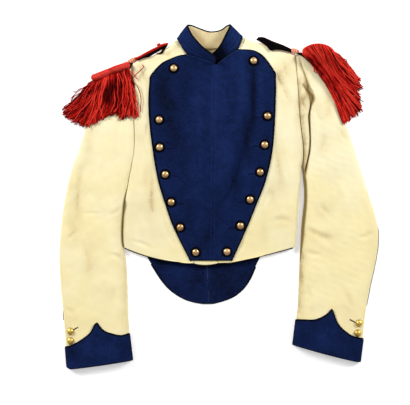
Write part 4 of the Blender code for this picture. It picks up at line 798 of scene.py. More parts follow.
# --------------------------------------------------------------------- finishes
class Finish:
    """A Principled material built up from procedural nodes."""

    def __init__(self, name, preview):
        self.mat = bpy.data.materials.new(name)
        self.mat.use_nodes = True
        self.mat.diffuse_color = (*preview, 1)
        self.tree = self.mat.node_tree
        self.tree.nodes.clear()
        self.out = self.node("ShaderNodeOutputMaterial")
        self.bsdf = self.node("ShaderNodeBsdfPrincipled")
        self.tree.links.new(self.bsdf.outputs[0], self.out.inputs["Surface"])
        place = self.node("ShaderNodeTexCoord")
        self.place, self.cut = place.outputs["Object"], place.outputs["UV"]

    def node(self, kind, **props):
        n = self.tree.nodes.new(kind)
        for key, value in props.items():
            setattr(n, key, value)
        return n

    def put(self, socket, value):
        if isinstance(value, bpy.types.NodeSocket):
            self.tree.links.new(value, socket)
        elif isinstance(value, tuple) and len(value) == 3 and socket.type == "RGBA":
            socket.default_value = (*value, 1)
        else:
            socket.default_value = value

    def sums(self, operation, *values, clamp=False):
        n = self.node("ShaderNodeMath", operation=operation, use_clamp=clamp)
        for socket, value in zip(n.inputs, values):
            self.put(socket, value)
        return n.outputs[0]

    def noise(self, scale, detail=3.0, rough=0.55, warp=0.0, vector=None, stretch=None):
        vector = vector or self.place
        if stretch:
            m = self.node("ShaderNodeMapping")
            self.put(m.inputs["Vector"], vector)
            m.inputs["Scale"].default_value = stretch
            vector = m.outputs[0]
        n = self.node("ShaderNodeTexNoise")
        self.put(n.inputs["Vector"], vector)
        n.inputs["Scale"].default_value = scale
        n.inputs["Detail"].default_value = detail
        n.inputs["Roughness"].default_value = rough
        n.inputs["Distortion"].default_value = warp
        return n.outputs[0]

    def fit(self, value, low, high, to_low=0.0, to_high=1.0):
        n = self.node("ShaderNodeMapRange")
        n.interpolation_type = "SMOOTHSTEP"
        for key, v in (("Value", value), ("From Min", low), ("From Max", high), ("To Min", to_low), ("To Max", to_high)):
            self.put(n.inputs[key], v)
        return n.outputs[0]

    def mix(self, share, a, b, how="MIX"):
        n = self.node("ShaderNodeMix", data_type="RGBA", blend_type=how)
        n.clamp_factor = True
        self.put(n.inputs[0], share)
        self.put(n.inputs[6], a)
        self.put(n.inputs[7], b)
        return n.outputs[2]

    def value(self, name):
        return self.node("ShaderNodeAttribute", attribute_name=name).outputs["Fac"]

    def bump(self, height, distance, strength=1.0, normal=None):
        n = self.node("ShaderNodeBump")
        n.inputs["Strength"].default_value = strength
        n.inputs["Distance"].default_value = distance
        self.put(n.inputs["Height"], height)
        if normal is not None:
            self.put(n.inputs["Normal"], normal)
        return n.outputs[0]

    def set(self, **sockets):
        names = {"colour": "Base Color", "rough": "Roughness", "metal": "Metallic", "specular": "Specular IOR Level",
                 "sheen": "Sheen Weight", "sheen_rough": "Sheen Roughness", "sheen_tint": "Sheen Tint",
                 "normal": "Normal"}
        for key, value in sockets.items():
            self.put(self.bsdf.inputs[names[key]], value)
        return self.mat


def white_wool():
    f = Finish("white_wool_cloth", (.80, .72, .47))
    soil_and_shade, wear_and_shade = f.value("soil_and_shade"), f.value("wear_and_shade")
    cloud = f.noise(9.0, 4.0, .6, .6)
    mottle = f.noise(42.0, 4.0, .62, .3)
    fleck = f.noise(230.0, 3.0, .6)
    fibre = f.noise(1400.0, 2.0, .6, stretch=(1.0, .45, 1.0))
    parts = f.node("ShaderNodeSeparateXYZ")
    f.put(parts.inputs[0], f.place)
    lower = f.fit(parts.outputs["Y"], .16, -.12, 0.0, .48)
    colour = f.mix(f.fit(f.sums("ADD", cloud, f.sums("MULTIPLY", lower, .55)), .40, .90), CREAM_CLEAN, CREAM_WARM)
    colour = f.mix(f.sums("MULTIPLY", f.fit(mottle, .46, .74), .16), colour, CREAM_TAN)
    # stains, and painted shade in troughs, folds and along low edges, darken the cloth to tan and brown
    broken = f.sums("MULTIPLY", soil_and_shade, f.fit(mottle, .25, .70, .72, 1.15), clamp=True)
    colour = f.mix(f.sums("MULTIPLY", broken, .72, clamp=True), colour, SOIL_SHADE_TAN)
    deep = f.fit(f.sums("ADD", broken, f.sums("MULTIPLY", f.fit(fleck, .45, .75), .16)), .52, 1.0)
    colour = f.mix(f.sums("MULTIPLY", deep, .60), colour, SOIL_SHADE_BROWN)
    # rounded edges go a little tan: partly wear, partly painted shade
    edge = f.sums("MULTIPLY", f.fit(wear_and_shade, .45, 1.0), .16)
    colour = f.mix(edge, colour, SOIL_SHADE_TAN)
    colour = f.mix(f.sums("MULTIPLY", f.fit(fleck, .30, .62), .06), colour, CREAM_TAN)
    # painted shade along the lines of deep shade; past strength 1 it becomes painted black shadow
    colour = f.mix(f.value("shade"), colour, OLIVE_SHADE)
    colour = f.mix(f.fit(f.value("shade"), 1.0, 1.7), colour, EDGE_AND_SHADOW_BLACK)
    normal = f.bump(fibre, .00016, .55)
    normal = f.bump(fleck, .00028, .40, normal)
    return f.set(colour=colour, rough=.96, specular=.16, sheen=.16, sheen_rough=.55, sheen_tint=(1.0, .95, .80),
                 normal=normal)


def navy_wool():
    f = Finish("dark_blue_cloth", NAVY_DEEP)
    wear_and_shade, nap_and_shade = f.value("wear_and_shade"), f.value("soil_and_shade")
    mixed = f.sums("ADD", f.sums("MULTIPLY", f.noise(18.0, 4.0, .6, .5), .48), f.sums("MULTIPLY", f.noise(90.0, 4.0, .68), .50))
    mixed = f.sums("ADD", mixed, f.sums("MULTIPLY", f.noise(320.0, 3.0, .6), .32))
    # the nap and the painted shade lighten and darken the blue
    cloud = f.sums("SUBTRACT", f.sums("ADD", mixed, f.sums("MULTIPLY", nap_and_shade, 1.0)), .605)
    fleck = f.noise(420.0, 3.0, .62)
    nap = f.noise(1500.0, 2.0, .6, stretch=(1.0, .35, 1.0))
    colour = f.mix(f.fit(cloud, .08, .42), NAVY_SHADE, NAVY_DEEP)
    colour = f.mix(f.fit(cloud, .38, .68), colour, NAVY_LIGHT)
    colour = f.mix(f.fit(cloud, .66, 1.0), colour, NAVY_WORN)
    colour = f.mix(f.sums("MULTIPLY", f.fit(fleck, .42, .75), .22), colour, NAVY_WORN)
    dust = f.node("ShaderNodeTexVoronoi")
    f.put(dust.inputs["Vector"], f.place)
    dust.inputs["Scale"].default_value = 120.0
    lint = f.fit(dust.outputs["Distance"], .035, .075, 1.0, 0.0)
    some = f.fit(f.noise(17.0, 2.0), .56, .66)
    colour = f.mix(f.sums("MULTIPLY", f.sums("MULTIPLY", lint, some), .55), colour, LINT)
    # near-black edges: partly piping and wear, partly painted shadow (the plastron's foot, the tails under the hem, the
    # collar's tucked end)
    colour = f.mix(f.sums("MULTIPLY", f.fit(wear_and_shade, .30, .80), .92), colour, EDGE_AND_SHADOW_BLACK)
    flat = f.node("ShaderNodeVectorMath", operation="MULTIPLY")
    f.put(flat.inputs[0], f.place)
    flat.inputs[1].default_value = (1, 1, 0)
    nearest = None
    for x, y in PLASTRON_BUTTONS_LEFT + PLASTRON_BUTTONS_RIGHT:      # worn dark and painted shadow round each button
        gap = f.node("ShaderNodeVectorMath", operation="DISTANCE")
        f.put(gap.inputs[0], flat.outputs[0])
        gap.inputs[1].default_value = (*(plan(x, y) * MM), 0)
        nearest = gap.outputs["Value"] if nearest is None else f.sums("MINIMUM", nearest, gap.outputs["Value"])
    colour = f.mix(f.sums("MULTIPLY", f.fit(nearest, .0102, .0122, 1.0, 0.0), .96), colour, EDGE_AND_SHADOW_BLACK)
    normal = f.bump(nap, .00014, .5)
    normal = f.bump(fleck, .0002, .4, normal)
    return f.set(colour=colour, rough=.95, specular=.03, sheen=.015, sheen_rough=.5, sheen_tint=(.55, .68, 1.0),
                 normal=normal)


def plain_cloth(name, colour, other, rough=.92, sheen=.01, tint=(1, 1, 1), scale=60.0, specular=.04):
    f = Finish(name, colour)
    mottle = f.noise(scale, 4.0, .6)
    nap = f.noise(1300.0, 2.0, .6)
    mixed = f.mix(f.fit(mottle, .35, .70), colour, other)
    return f.set(colour=mixed, rough=rough, specular=specular, sheen=sheen, sheen_rough=.5, sheen_tint=tint,
                 normal=f.bump(nap, .00014, .5))


def linen():
    f = Finish("cream_linen", (.50, .39, .22))
    soil_and_shade = f.value("soil_and_shade")
    threads = []
    for stretch in ((1900.0, 120.0, 120.0), (120.0, 1900.0, 120.0)):
        threads.append(f.noise(1.0, 2.0, .5, stretch=stretch))
    weave = f.sums("MAXIMUM", *threads)
    mottle = f.noise(55.0, 4.0, .6)
    colour = f.mix(f.fit(mottle, .35, .7), LINEN_PALE, LINEN_TAN)
    colour = f.mix(f.sums("MULTIPLY", f.fit(weave, .35, .7), .25), colour, LINEN_TAN)
    colour = f.mix(f.sums("MULTIPLY", soil_and_shade, .55), colour, SOIL_SHADE_TAN)
    pink = f.fit(f.noise(28.0, 2.0, .5, vector=None), .60, .74)
    colour = f.mix(f.sums("MULTIPLY", pink, .28), colour, (.56, .26, .17))
    return f.set(colour=colour, rough=.9, specular=.2, normal=f.bump(weave, .0002, .6))


def twisted(name, dark, middle, bright, rough=.85, sheen=.02, tint=(1.0, .45, .40)):
    """Wool yarn: a tone for each strand, and the turns of its plies."""
    f = Finish(name, middle)
    tone = f.value("tone")
    turns = f.node("ShaderNodeTexWave", wave_type="BANDS", bands_direction="DIAGONAL", wave_profile="SIN")
    stretch = f.node("ShaderNodeMapping")
    f.put(stretch.inputs["Vector"], f.cut)
    stretch.inputs["Scale"].default_value = (1.0, 3.2, 1.0)
    f.put(turns.inputs["Vector"], stretch.outputs[0])
    turns.inputs["Scale"].default_value = 1.0
    turns.inputs["Distortion"].default_value = 0.6
    ply = turns.outputs["Fac"]
    fuzz = f.noise(900.0, 3.0, .65)
    wide = f.noise(38.0, 3.0, .6)
    level = f.sums("ADD", f.sums("MULTIPLY", tone, .80), f.sums("MULTIPLY", wide, .24))
    colour = f.mix(f.fit(level, .18, .58), dark, middle)
    colour = f.mix(f.fit(level, .50, .86), colour, bright)
    # the grooves between the plies are darkened: painted shade
    colour = f.mix(f.sums("MULTIPLY", f.sums("SUBTRACT", 1.0, ply), .35), colour, dark)
    normal = f.bump(ply, .0004, .7)
    normal = f.bump(fuzz, .00025, .6, normal)
    return f.set(colour=colour, rough=rough, specular=.05, sheen=sheen, sheen_rough=.45, sheen_tint=tint, normal=normal)


def brass(name, bright, worn, dark):
    f = Finish(name, bright)
    tone = f.value("tone")
    patch = f.noise(420.0, 4.0, .62, .4)
    spots = f.noise(1500.0, 3.0, .6)
    colour = f.mix(f.fit(f.sums("ADD", patch, f.sums("MULTIPLY", tone, .12)), .42, .66), bright, worn)
    colour = f.mix(f.sums("MULTIPLY", f.fit(spots, .60, .80), .35), colour, dark)
    # the dome's foot is painted near black: a painted shadow ring where it meets the cloth
    colour = f.mix(f.fit(f.value("wear_and_shade"), .15, .85), colour, (.012, .008, .005))
    rough = f.fit(patch, .3, .8, .34, .50)
    return f.set(colour=colour, rough=rough, metal=.80, specular=.25, normal=f.bump(patch, .00006, .25))


CREAM_CLEAN, CREAM_WARM, CREAM_TAN = (.818, .755, .505), (.81, .705, .385), (.72, .60, .33)
SOIL_SHADE_TAN, SOIL_SHADE_BROWN, OLIVE_SHADE = (.56, .43, .20), (.30, .20, .075), (.185, .125, .034)
NAVY_SHADE, NAVY_DEEP = (.0020, .0038, .0150), (.0034, .0085, .042)
NAVY_LIGHT, NAVY_WORN = (.0061, .0154, .072), (.017, .037, .122)
LINT, EDGE_AND_SHADOW_BLACK = (.10, .12, .18), (.0018, .0022, .0055)
LINEN_PALE, LINEN_TAN = (.70, .60, .365), (.57, .46, .26)
WHITE, NAVY, LINEN = white_wool(), navy_wool(), linen()
PIPING = plain_cloth("piping_cloth", (.0022, .0026, .0065), (.0034, .0042, .012))
NAVY_THREAD = plain_cloth("navy_thread", (.014, .026, .085), (.020, .036, .11))
BLACK = plain_cloth("black_cloth", (.0008, .0004, .0006), (.0022, .0012, .0016))
RED = twisted("red_twisted_wool", (.09, .001, .001), (.50, .007, .004), (.84, .048, .028))
ROLL_RED = twisted("red_roll_wool", (.34, .008, .006), (.68, .028, .019), (.84, .085, .062))
ROLL_RED_CLOTH = plain_cloth("red_cloth", (.30, .014, .014), (.46, .055, .05))
ROSE = twisted("faded_red_wool", (.56, .12, .075), (.84, .33, .21), (.92, .46, .31))
COPPERY = brass("coppery_brass", (.74, .50, .26), (.46, .26, .11), (.20, .09, .035))
GOLDEN = brass("golden_brass", (.82, .56, .14), (.58, .36, .08), (.28, .15, .04))


# ------------------------------------------------------------ rows and sections
def rows_by_length(places, last, step, keep=()):
    """Row numbers from 0 to last, a step in mm apart where the lines move fastest."""
    r = np.linspace(0, last, int(last * 40) + 1)
    pts = np.array([places(x) for x in r])
    s = np.concatenate([[0.0], np.cumsum(np.linalg.norm(np.diff(pts, axis=0), axis=2).max(axis=1))])
    out, stops = [], [0.0] + list(keep) + [float(last)]
    for lo, hi in zip(stops[:-1], stops[1:]):
        s0, s1 = np.interp([lo, hi], r, s)
        out += list(np.interp(np.linspace(s0, s1, max(1, int(round((s1 - s0) / step))), endpoint=False), s, r))
    return np.array(out + [float(last)])


def bend(u, low, high, turn, swing=0.35, rise=0.8):
    """Distance and height along an edge that rounds over from low, at the edge, to high."""
    d = turn * (3 * (1 - u) * u * u * swing + u ** 3)
    z = ((1 - u) ** 3 * low + 3 * (1 - u) ** 2 * u * (low + rise * (high - low))
         + (3 * (1 - u) * u * u + u ** 3) * high)
    return d, z


ROUND_STEPS = np.linspace(0, 1, 9)


def smooth_columns(z, first, passes=3):
    """Takes the angles out of heights across a piece, inside of the rounded edge."""
    for _ in range(passes):
        z[:, first + 1:-1] = 0.5 * z[:, first + 1:-1] + 0.25 * (z[:, first:-2] + z[:, first + 2:])
    return z


def shallow(side, row):
    """How far the armhole's seam is filled up by the cloth pressed into it (0 to 1)."""
    if side < 0:
        return 0.80 * float(ease((row - 3.9) / 0.9) * ease((7.9 - row) / 0.6))
    return 0.72 * float(ease((row - 6.7) / 0.5) * ease((7.9 - row) / 0.5))


def slit(side, row):
    """Where the body's side stands clear of the sleeve, in a narrow deep slit (0 to 1)."""
    if side > 0:
        return 0.86 * float(ease((4.4 - row) / 0.5))
    return float(ease((3.75 - row) / 0.5))


def front_fine(table, rows, side, flat=30, inside=40, closing_steps=3):
    """Outer face of a front; returns the grid and the column of the plastron's edge."""
    grid = []
    for row in rows:
        col = lambda name: at(table, FRONT_HEAD, name, row, (SHOULDER_ROW,))
        a = out_edge(table, row)
        b = plan(col("edge_x"), col("edge_y"))
        closing = at(CLOSING, CLOSING_HEAD, "closing_x", row)
        seam = at(CLOSING, CLOSING_HEAD, "seam_x", row)
        c = plan(closing + (0.0 if side < 0 else GAP / SQUARE), col("mid_y"))
        reach = float(np.linalg.norm(b - a))
        turn = min(BODY_ROUND, 0.7 * reach) * (1 - 0.66 * slit(side, row))
        a = a + (b - a) / reach * (-1.0 if side < 0 else 0.0) * slit(side, row)
        low, crown, z_edge = max(2.3, col("rim")), col("crown"), col("z_edge")
        low += shallow(side, row) * (crown - low)
        d, z = bend(ROUND_STEPS, low, crown, turn)
        more = turn + (reach - turn) * np.arange(1, flat + 1) / flat
        d = np.concatenate([d, more])
        z = np.concatenate([z, crown + (z_edge - crown) * (more - turn) / (reach - turn)])
        w = d / reach
        p = a + (b - a) * w[:, None]
        p[:, 1] -= col("bow_out") * SQUARE * 4 * w * (1 - w)
        points = np.column_stack([p, z])
        if side < 0:
            stop = (plan(seam, 0)[0] - b[0]) / (c[0] - b[0])
            w = np.concatenate([stop * np.arange(1, inside + 1) / inside,
                                stop + (1 - stop) * np.arange(1, closing_steps + 1) / closing_steps])
        else:
            w = np.arange(1, inside + 1) / inside
        p = b + (c - b) * w[:, None]
        p[:, 1] -= col("bow_in") * SQUARE * 4 * w * (1 - w)
        z = z_edge + (col("z_mid") - z_edge) * w * (2 - w)
        grid.append(np.vstack([points, np.column_stack([p, z])]))
    grid = np.array(grid)
    grid[:, :, 2] = smooth_columns(grid[:, :, 2], len(ROUND_STEPS))
    return grid, len(ROUND_STEPS) + flat - 1


def relief(grid, on, amount=0.35, wave=55.0, seed=1, fade=None, dents=()):
    """Lays a piece's creases and unevenness into its grid; returns the trough depth there."""
    flat = grid.reshape(-1, 3)
    xy = flat[:, :2]
    dz, trough = creases(xy, on)
    dz = dz + amount * uneven(xy, wave, seed) + 0.4 * amount * uneven(xy, wave * 0.36, seed + 50)
    for x, y, depth, wide in dents:
        c = plan(x, y)
        dz = dz - depth * np.exp(-(((xy - c) ** 2).sum(1)) / wide ** 2)
    keep = np.clip((flat[:, 2] - 2.3 - CLOTH) / 5.0, 0, 1)
    if fade is not None:
        keep = keep * fade.reshape(-1)
    flat[:, 2] += dz * keep
    return trough * keep


def lerp_cut(grid, w):
    """Grid's rows resampled at shares of the row's length (by column number)."""
    cols = np.asarray(w) * (grid.shape[1] - 1)
    i = np.minimum(cols.astype(int), grid.shape[1] - 2)
    f = (cols - i)[None, :, None]
    return grid[:, i] * (1 - f) + grid[:, i + 1] * f


# ------------------------------------------------------------- fronts and back
def edges_of(row):
    return [out_edge(FRONT_LEFT, row), out_edge(FRONT_RIGHT, row),
            plan(at(CLOSING, CLOSING_HEAD, "closing_x", row), at(FRONT_LEFT, FRONT_HEAD, "mid_y", row))]


front_rows = rows_by_length(edges_of, NECK_ROW, 3.0, keep=(1.0, float(SHOULDER_ROW)))
front_rows = np.concatenate([front_rows[:-1], [NECK_ROW - 0.13, NECK_ROW]])
first_row = int(np.argmin(np.abs(front_rows - 1.0)))       # foot of the plastron
def drawn_up(grid):
    """The shoulders, drawn up a little to meet the straps that lie along them."""
    out = grid.copy()
    x, y = 218.9 + grid[..., 0] / SQUARE, 196.0 - grid[..., 1] / SQUARE
    out[..., 1] += 3.2 * ease((x - 256) / 8) * ease((322 - x) / 18) * ease((68 - y) / 13)
    out[..., 1] += 1.3 * ease((x - 122) / 8) * ease((170 - x) / 8) * ease((72 - y) / 14)
    return out


left, edge = front_fine(FRONT_LEFT, front_rows, -1)
right, _ = front_fine(FRONT_RIGHT, front_rows, 1)
left, right = drawn_up(left), drawn_up(right)
neck_fade = np.repeat(ease((NECK_ROW - front_rows) / 0.9)[:, None], left.shape[1], axis=1)
neck_fade_right = np.repeat(ease((NECK_ROW - front_rows) / 0.9)[:, None], right.shape[1], axis=1)
button_dents = [(x, y, 1.9, 9.5) for x, y in PLASTRON_BUTTONS_LEFT + PLASTRON_BUTTONS_RIGHT]
trough_left = relief(left, ("front_left", "plastron"), 0.40, 60.0, 1, neck_fade, button_dents)
trough_right = relief(right, ("front_right", "plastron"), 0.40, 60.0, 1, neck_fade_right, button_dents)


def front_soil_and_shade(grid, trough):
    """Stains of a front, with painted shade in its troughs and where the cloth lies low along its edges, most of all
    beside the left side's slit.
    """
    xy = grid.reshape(-1, 3)[:, :2]
    low = np.clip((9.0 - grid[:, :, 2].reshape(-1)) / 7.0, 0, 1)
    side = np.repeat(np.array([slit(-1 if grid is left else 1, r) for r in front_rows])[:, None], grid.shape[1], axis=1)
    return np.clip(soiled_and_shaded(xy) + 0.16 * trough + (0.22 + (0.75 if grid is left else 0.15) * side.reshape(-1)) * low ** 2, 0, 1)


def tucked(grid, by=1.6):
    """Draws the neck edge back under the plastron."""
    out = grid.copy()
    step = grid[-3] - grid[-1]
    size = np.linalg.norm(step, axis=1, keepdims=True)
    share = ease((np.arange(grid.shape[1]) - edge - 1) / 3.0)[:, None]
    for row, part in ((-1, 1.0), (-2, 0.55)):
        out[row] += step / size * np.minimum(by, 0.5 * size) * part * share
    return out


front_left = wall("front_left_cloth", tucked(left), CLOTH, WHITE, "front_left", "white_wool",
                  soil_and_shade=front_soil_and_shade(left, trough_left))
front_right = wall("front_right_cloth", tucked(right), CLOTH, WHITE, "front_right", "white_wool",
                   soil_and_shade=front_soil_and_shade(right, trough_right))

back_rows = rows_by_length(edges_of, NECK_ROW, 5.0, keep=(11.0,))
back_rows = np.concatenate([back_rows[back_rows < 11.0], np.linspace(11.0, 12.0, 24)])
back_w = np.concatenate([np.linspace(0, 0.28, 12)[:-1], np.linspace(0.28, 0.78, 52), np.linspace(0.78, 1, 11)[1:]])
back = []
for row in back_rows:
    l, r = out_edge(FRONT_LEFT, row), out_edge(FRONT_RIGHT, row)
    dip = np.interp(row, BACK_DIP_ROWS, BACK_DIP) - 2.9 * float(ease((row - 11.2) / 0.8))
    p = l + (r - l) * back_w[:, None]
    p[:, 1] -= dip * SQUARE * 4 * back_w * (1 - back_w)
    back.append(np.column_stack([p, np.full(len(back_w), CLOTH)]))
back = drawn_up(np.array(back))
dz, trough = creases(back.reshape(-1, 3)[:, :2], ("back",))
back[:, :, 2] += dz.reshape(back.shape[:2])
# painted shade: the back darkens in its creases and, strongly, along the neck seam under the collar
neck_shade = np.exp(-(NECK_ROW - back_rows) / 0.10)[:, None] * np.ones(back.shape[1])
back_cloth = wall("back_cloth", back, CLOTH, WHITE, "back", "white_wool", flat_below=0.05,
                  soil_and_shade=np.clip(0.30 + 0.55 * trough + 0.6 * neck_shade.reshape(-1), 0, 1))

# -------------------------------------------------------------------- plastron
both = np.concatenate([left[:, edge:], right[:, edge:-1][:, ::-1]], axis=1)[first_row:]
seam_column = left.shape[1] - 1 - edge - 3
both[-1] += (both[-1] - both[-3]) / np.linalg.norm(both[-1] - both[-3], axis=1, keepdims=True) * 0.8
lifted = both + normals(both) * GAP
near, far = lifted[:, :seam_column + 1].copy(), lifted[:, seam_column:].copy()


def seam_dip(grid, column, away):
    """The halves meet edge to edge and turn down a little into their seam."""
    grid[:, column, 0] += away * 0.03
    grid[:, column, 2] -= 0.25
    return grid


# Nap of the blue cloth, where it is brushed up and dusty (lighter) or pressed (darker), with painted shade along its
# folds and painted light on its ridges.
NAP_AND_SHADE_HEAD = ("x", "y", "reach_x", "reach_y", "amount")
NAP_AND_SHADE = (
    (214, 100, 4, 50, .14), (241.5, 88, 5.0, 30, .22), (253.2, 98, 3.4, 30, -.55), (246.4, 138, 4.4, 22, -.36),
    (236, 176, 5, 16, -.30), (164, 90, 10, 30, -.36), (174, 134, 8, 28, -.24), (222, 100, 9, 40, .12),
    (202, 96, 9, 34, .08), (184, 96, 5, 30, -.14), (262, 92, 6, 26, .06), (266, 128, 5, 22, -.14),
    (200, 180, 12, 24, .08), (226, 148, 8, 24, .12), (212, 214, 8, 26, -.10), (206, 240, 12, 14, -.10),
    (184, 176, 6, 22, -.14), (250, 172, 7, 18, .10), (230, 232, 7, 16, -.08), (190, 222, 5, 18, -.10),
    (178, 270, 11, 12, .16), (196, 286, 8, 14, -.12), (224, 288, 9, 12, -.14), (244, 270, 8, 12, .08),
    (160, 262, 5, 9, -.20), (100, 350, 16, 9, .14), (74, 352, 5, 12, -.12), (124, 352, 6, 12, -.10),
    (326, 340, 14, 9, .08), (352, 342, 6, 12, -.14), (304, 336, 6, 10, -.08))


def napped_and_shaded(xy, level=0.42):
    out = np.full(len(xy), level) + 0.05 * uneven(xy, 34.0, 61) + 0.03 * uneven(xy, 12.0, 62)
    for x, y, rx, ry, amount in NAP_AND_SHADE:
        c = plan(x, y)
        d = ((xy[:, 0] - c[0]) / (rx * SQUARE)) ** 2 + ((xy[:, 1] - c[1]) / (ry * SQUARE)) ** 2
        out += amount * np.exp(-d)
    return np.clip(out, 0, 1)


def plastron_looks(grid, seam):
    """Nap and painted shade of a half of the plastron, and its dark edges: near black along the outer edge, painted
    shade along its foot;
    a pale line along its neck edge and beside the seam, and a dark ring where each button presses in, partly wear and
    partly painted shadow."""
    flat = grid.reshape(-1, 3)
    soil_and_shade = napped_and_shaded(flat[:, :2]).reshape(grid.shape[:2])
    step = np.linalg.norm(np.diff(grid, axis=1), axis=2)
    over = np.concatenate([np.zeros((grid.shape[0], 1)), np.cumsum(step, axis=1)], axis=1)
    outer_edge = over[:, -1:] - over if seam == 0 else over
    inner_edge = over if seam == 0 else over[:, -1:] - over
    down = np.concatenate([[0.0], np.cumsum(np.linalg.norm(np.diff(grid, axis=0), axis=2).mean(axis=1))])
    wear_and_shade = np.maximum(np.exp(-outer_edge / 2.0), 0.8 * np.exp(-down / 1.6)[:, None])
    wear_and_shade = np.maximum(wear_and_shade, 0.42 * np.exp(-inner_edge / 0.9))
    wear_and_shade[-2:] *= 0.1
    soil_and_shade[-1] = 1.0
    soil_and_shade += 0.10 * np.exp(-((inner_edge - 3.0) / 1.6) ** 2)
    wear_and_shade = wear_and_shade.reshape(-1)
    for x, y in PLASTRON_BUTTONS_LEFT + PLASTRON_BUTTONS_RIGHT:
        r = np.hypot(*(flat[:, :2] - plan(x, y)).T)
        wear_and_shade = np.maximum(wear_and_shade, 0.92 * np.exp(-(np.maximum(r - 9.6, 0) / 1.5) ** 2))
    return np.clip(soil_and_shade, 0, 1), wear_and_shade


seam_dip(near, -1, -1)
seam_dip(far, 0, 1)
plastron = []
for word, grid, seam in (("left", near, -1), ("right", far, 0)):
    soil_and_shade, wear_and_shade = plastron_looks(grid, seam)
    plastron.append(wall("plastron_%s_cloth" % word, grid, CLOTH, NAVY, "plastron_" + word, "blue_cloth", soil_and_shade=soil_and_shade,
                         wear_and_shade=wear_and_shade, inward=False, sewn={seam: 0.10}))
tops = [near + normals(near) * CLOTH, far + normals(far) * CLOTH, left, right]


# --------------------------------------------------------------------- sleeves
def sleeve_edges(table, body, row, side):
    """Fore and hind edge of a sleeve at a row, with the height of the fore seam's rim."""
    last = max(i for i, r in enumerate(table) if r[0] >= 0)
    col = lambda name: at(table, SLEEVE_HEAD, name, row)

    def sewn(r):
        i = min(int(r), last - 1)
        b = table[i][0] + (table[i + 1][0] - table[i][0]) * (r - i)
        p = out_edge(body, b)
        return np.array([p[0] + side * 0.4, p[1]]), max(2.3, at(body, FRONT_HEAD, "rim", b, (SHOULDER_ROW,)))

    def free(r):
        i = min(max(int(r), last + 1), len(table) - 2)
        f = r - i
        return plan(*[table[i][k] + (table[i + 1][k] - table[i][k]) * f for k in (1, 2)]), 2.3

    if row <= last:
        p, rim = sewn(row)
    elif row >= last + 1:
        p, rim = free(row)
    else:
        f = row - last
        (p0, r0), (p1, r1) = sewn(last), free(last + 1)
        p, rim = p0 + (p1 - p0) * f, r0 + (r1 - r0) * f
    return p, plan(col("out_x"), col("out_y")), rim


def table_row(table, row):
    """The front's row that a sleeve's row is sewn to."""
    i = min(int(row), len(table) - 2)
    a, b = table[i][0], table[i + 1][0]
    return a + (b - a) * (row - i) if a >= 0 and b >= 0 else (a if a >= 0 else -1.0)


def sleeve_fine(table, body, side, middle):
    """Outer face of an upper sleeve, the flat grid of its under sleeve, and their rows."""
    last = len(table) - 1
    rows = rows_by_length(lambda r: sleeve_edges(table, body, r, side)[:2], last, 3.0)
    fore, far_edge, rims = (np.array(v) for v in zip(*(sleeve_edges(table, body, r, side) for r in rows)))
    sewn = max(i for i, r in enumerate(table) if r[0] >= 0)
    soft = fore.copy()
    for _ in range(12):                    # the free part of the fore edge runs without angles
        soft[1:-1] = 0.5 * soft[1:-1] + 0.25 * (soft[:-2] + soft[2:])
    k = ease((rows - sewn - 0.6) / 0.8)[:, None] * ease((last - rows) / 0.5)[:, None]
    fore = fore * (1 - k) + soft * k
    grid, under = [], []
    for row, a, b, rim in zip(rows, fore, far_edge, rims):
        col = lambda name: at(table, SLEEVE_HEAD, name, row)
        width = float(np.linalg.norm(b - a))
        turn = min(SLEEVE_ROUND, 0.36 * width)
        open_ = slit(side, table_row(table, row)) * float(ease((14.9 - row) / 1.2))
        if side > 0:
            open_ = 0.9 * float(ease((row - 8.3) / 0.8) * ease((17.0 - row) / 3.0))
        inwards = -1.0 * open_ if side < 0 else 0.0
        a = a + (b - a) / width * inwards
        width -= inwards
        turn_fore = turn * (1 - 0.62 * open_)
        lift = max(0.0, col("lift"))
        level = lambda d: (col("crown") + 0.6 * np.sin(math.pi * d / width)
                           - col("dip") * np.exp(-((d - width * col("fold")) / 7.0) ** 2))
        fore_steps = ROUND_STEPS if side < 0 else np.linspace(0, 1, 24)
        d = bend(fore_steps, 0, 1, turn_fore)[0]
        hind = bend(ROUND_STEPS, 0, 1, turn)[0]
        rim += shallow(side, table_row(table, row)) * (float(level(0.0)) - rim)
        z0 = bend(fore_steps, rim + lift, level(d), turn_fore)[1]
        z1 = bend(ROUND_STEPS, 2.3 + lift, level(width - hind), turn)[1]
        m = turn_fore + (width - turn_fore - turn) * middle
        steps = np.concatenate([d, m, (width - hind)[::-1]])
        z = np.concatenate([z0, level(m), z1[::-1]])
        p = a + (b - a) * (steps / width)[:, None]
        grid.append(np.column_stack([p, z]))
        w = np.linspace(0, 1, 14)[:, None]
        under.append(np.column_stack([a + (b - a) * w, np.full(14, CLOTH + lift)]))
    return np.array(grid), np.array(under), rows


def sleeve_soil_and_shade(grid, trough, rows, wrist, right):
    """Stains of a sleeve as marked, with painted shade in its troughs and along its fore edge; also darker along its
    hind edge, towards the wrist and at the wrist.
    """
    xy = grid.reshape(-1, 3)[:, :2]
    over = np.concatenate([np.zeros((grid.shape[0], 1)),
                           np.cumsum(np.linalg.norm(np.diff(grid, axis=1), axis=2), axis=1)], axis=1)
    fore = np.exp(-(over / 9.0) ** 2)
    hind = np.exp(-((over[:, -1:] - over) / 6.0) ** 2)
    down = np.repeat(ease((rows - 10.0) / 9.0)[:, None], grid.shape[1], axis=1)
    fore_edge_shade = np.interp(rows, *((0, 4, 9, 12, 22), (.30, .34, .55, .40, .40)) if right else ((0, 9, 11, 15, 22), (.16, .22, .60, .40, .34)))
    amount = (fore_edge_shade[:, None] * (fore + 0.9 * np.exp(-over / 2.2)) + 0.18 * hind + 0.06 * down
              + 0.16 * np.exp(-((rows - wrist) / 0.8) ** 2)[:, None])
    return np.clip(soiled_and_shaded(xy) + 0.17 * trough + amount.reshape(-1), 0, 1)


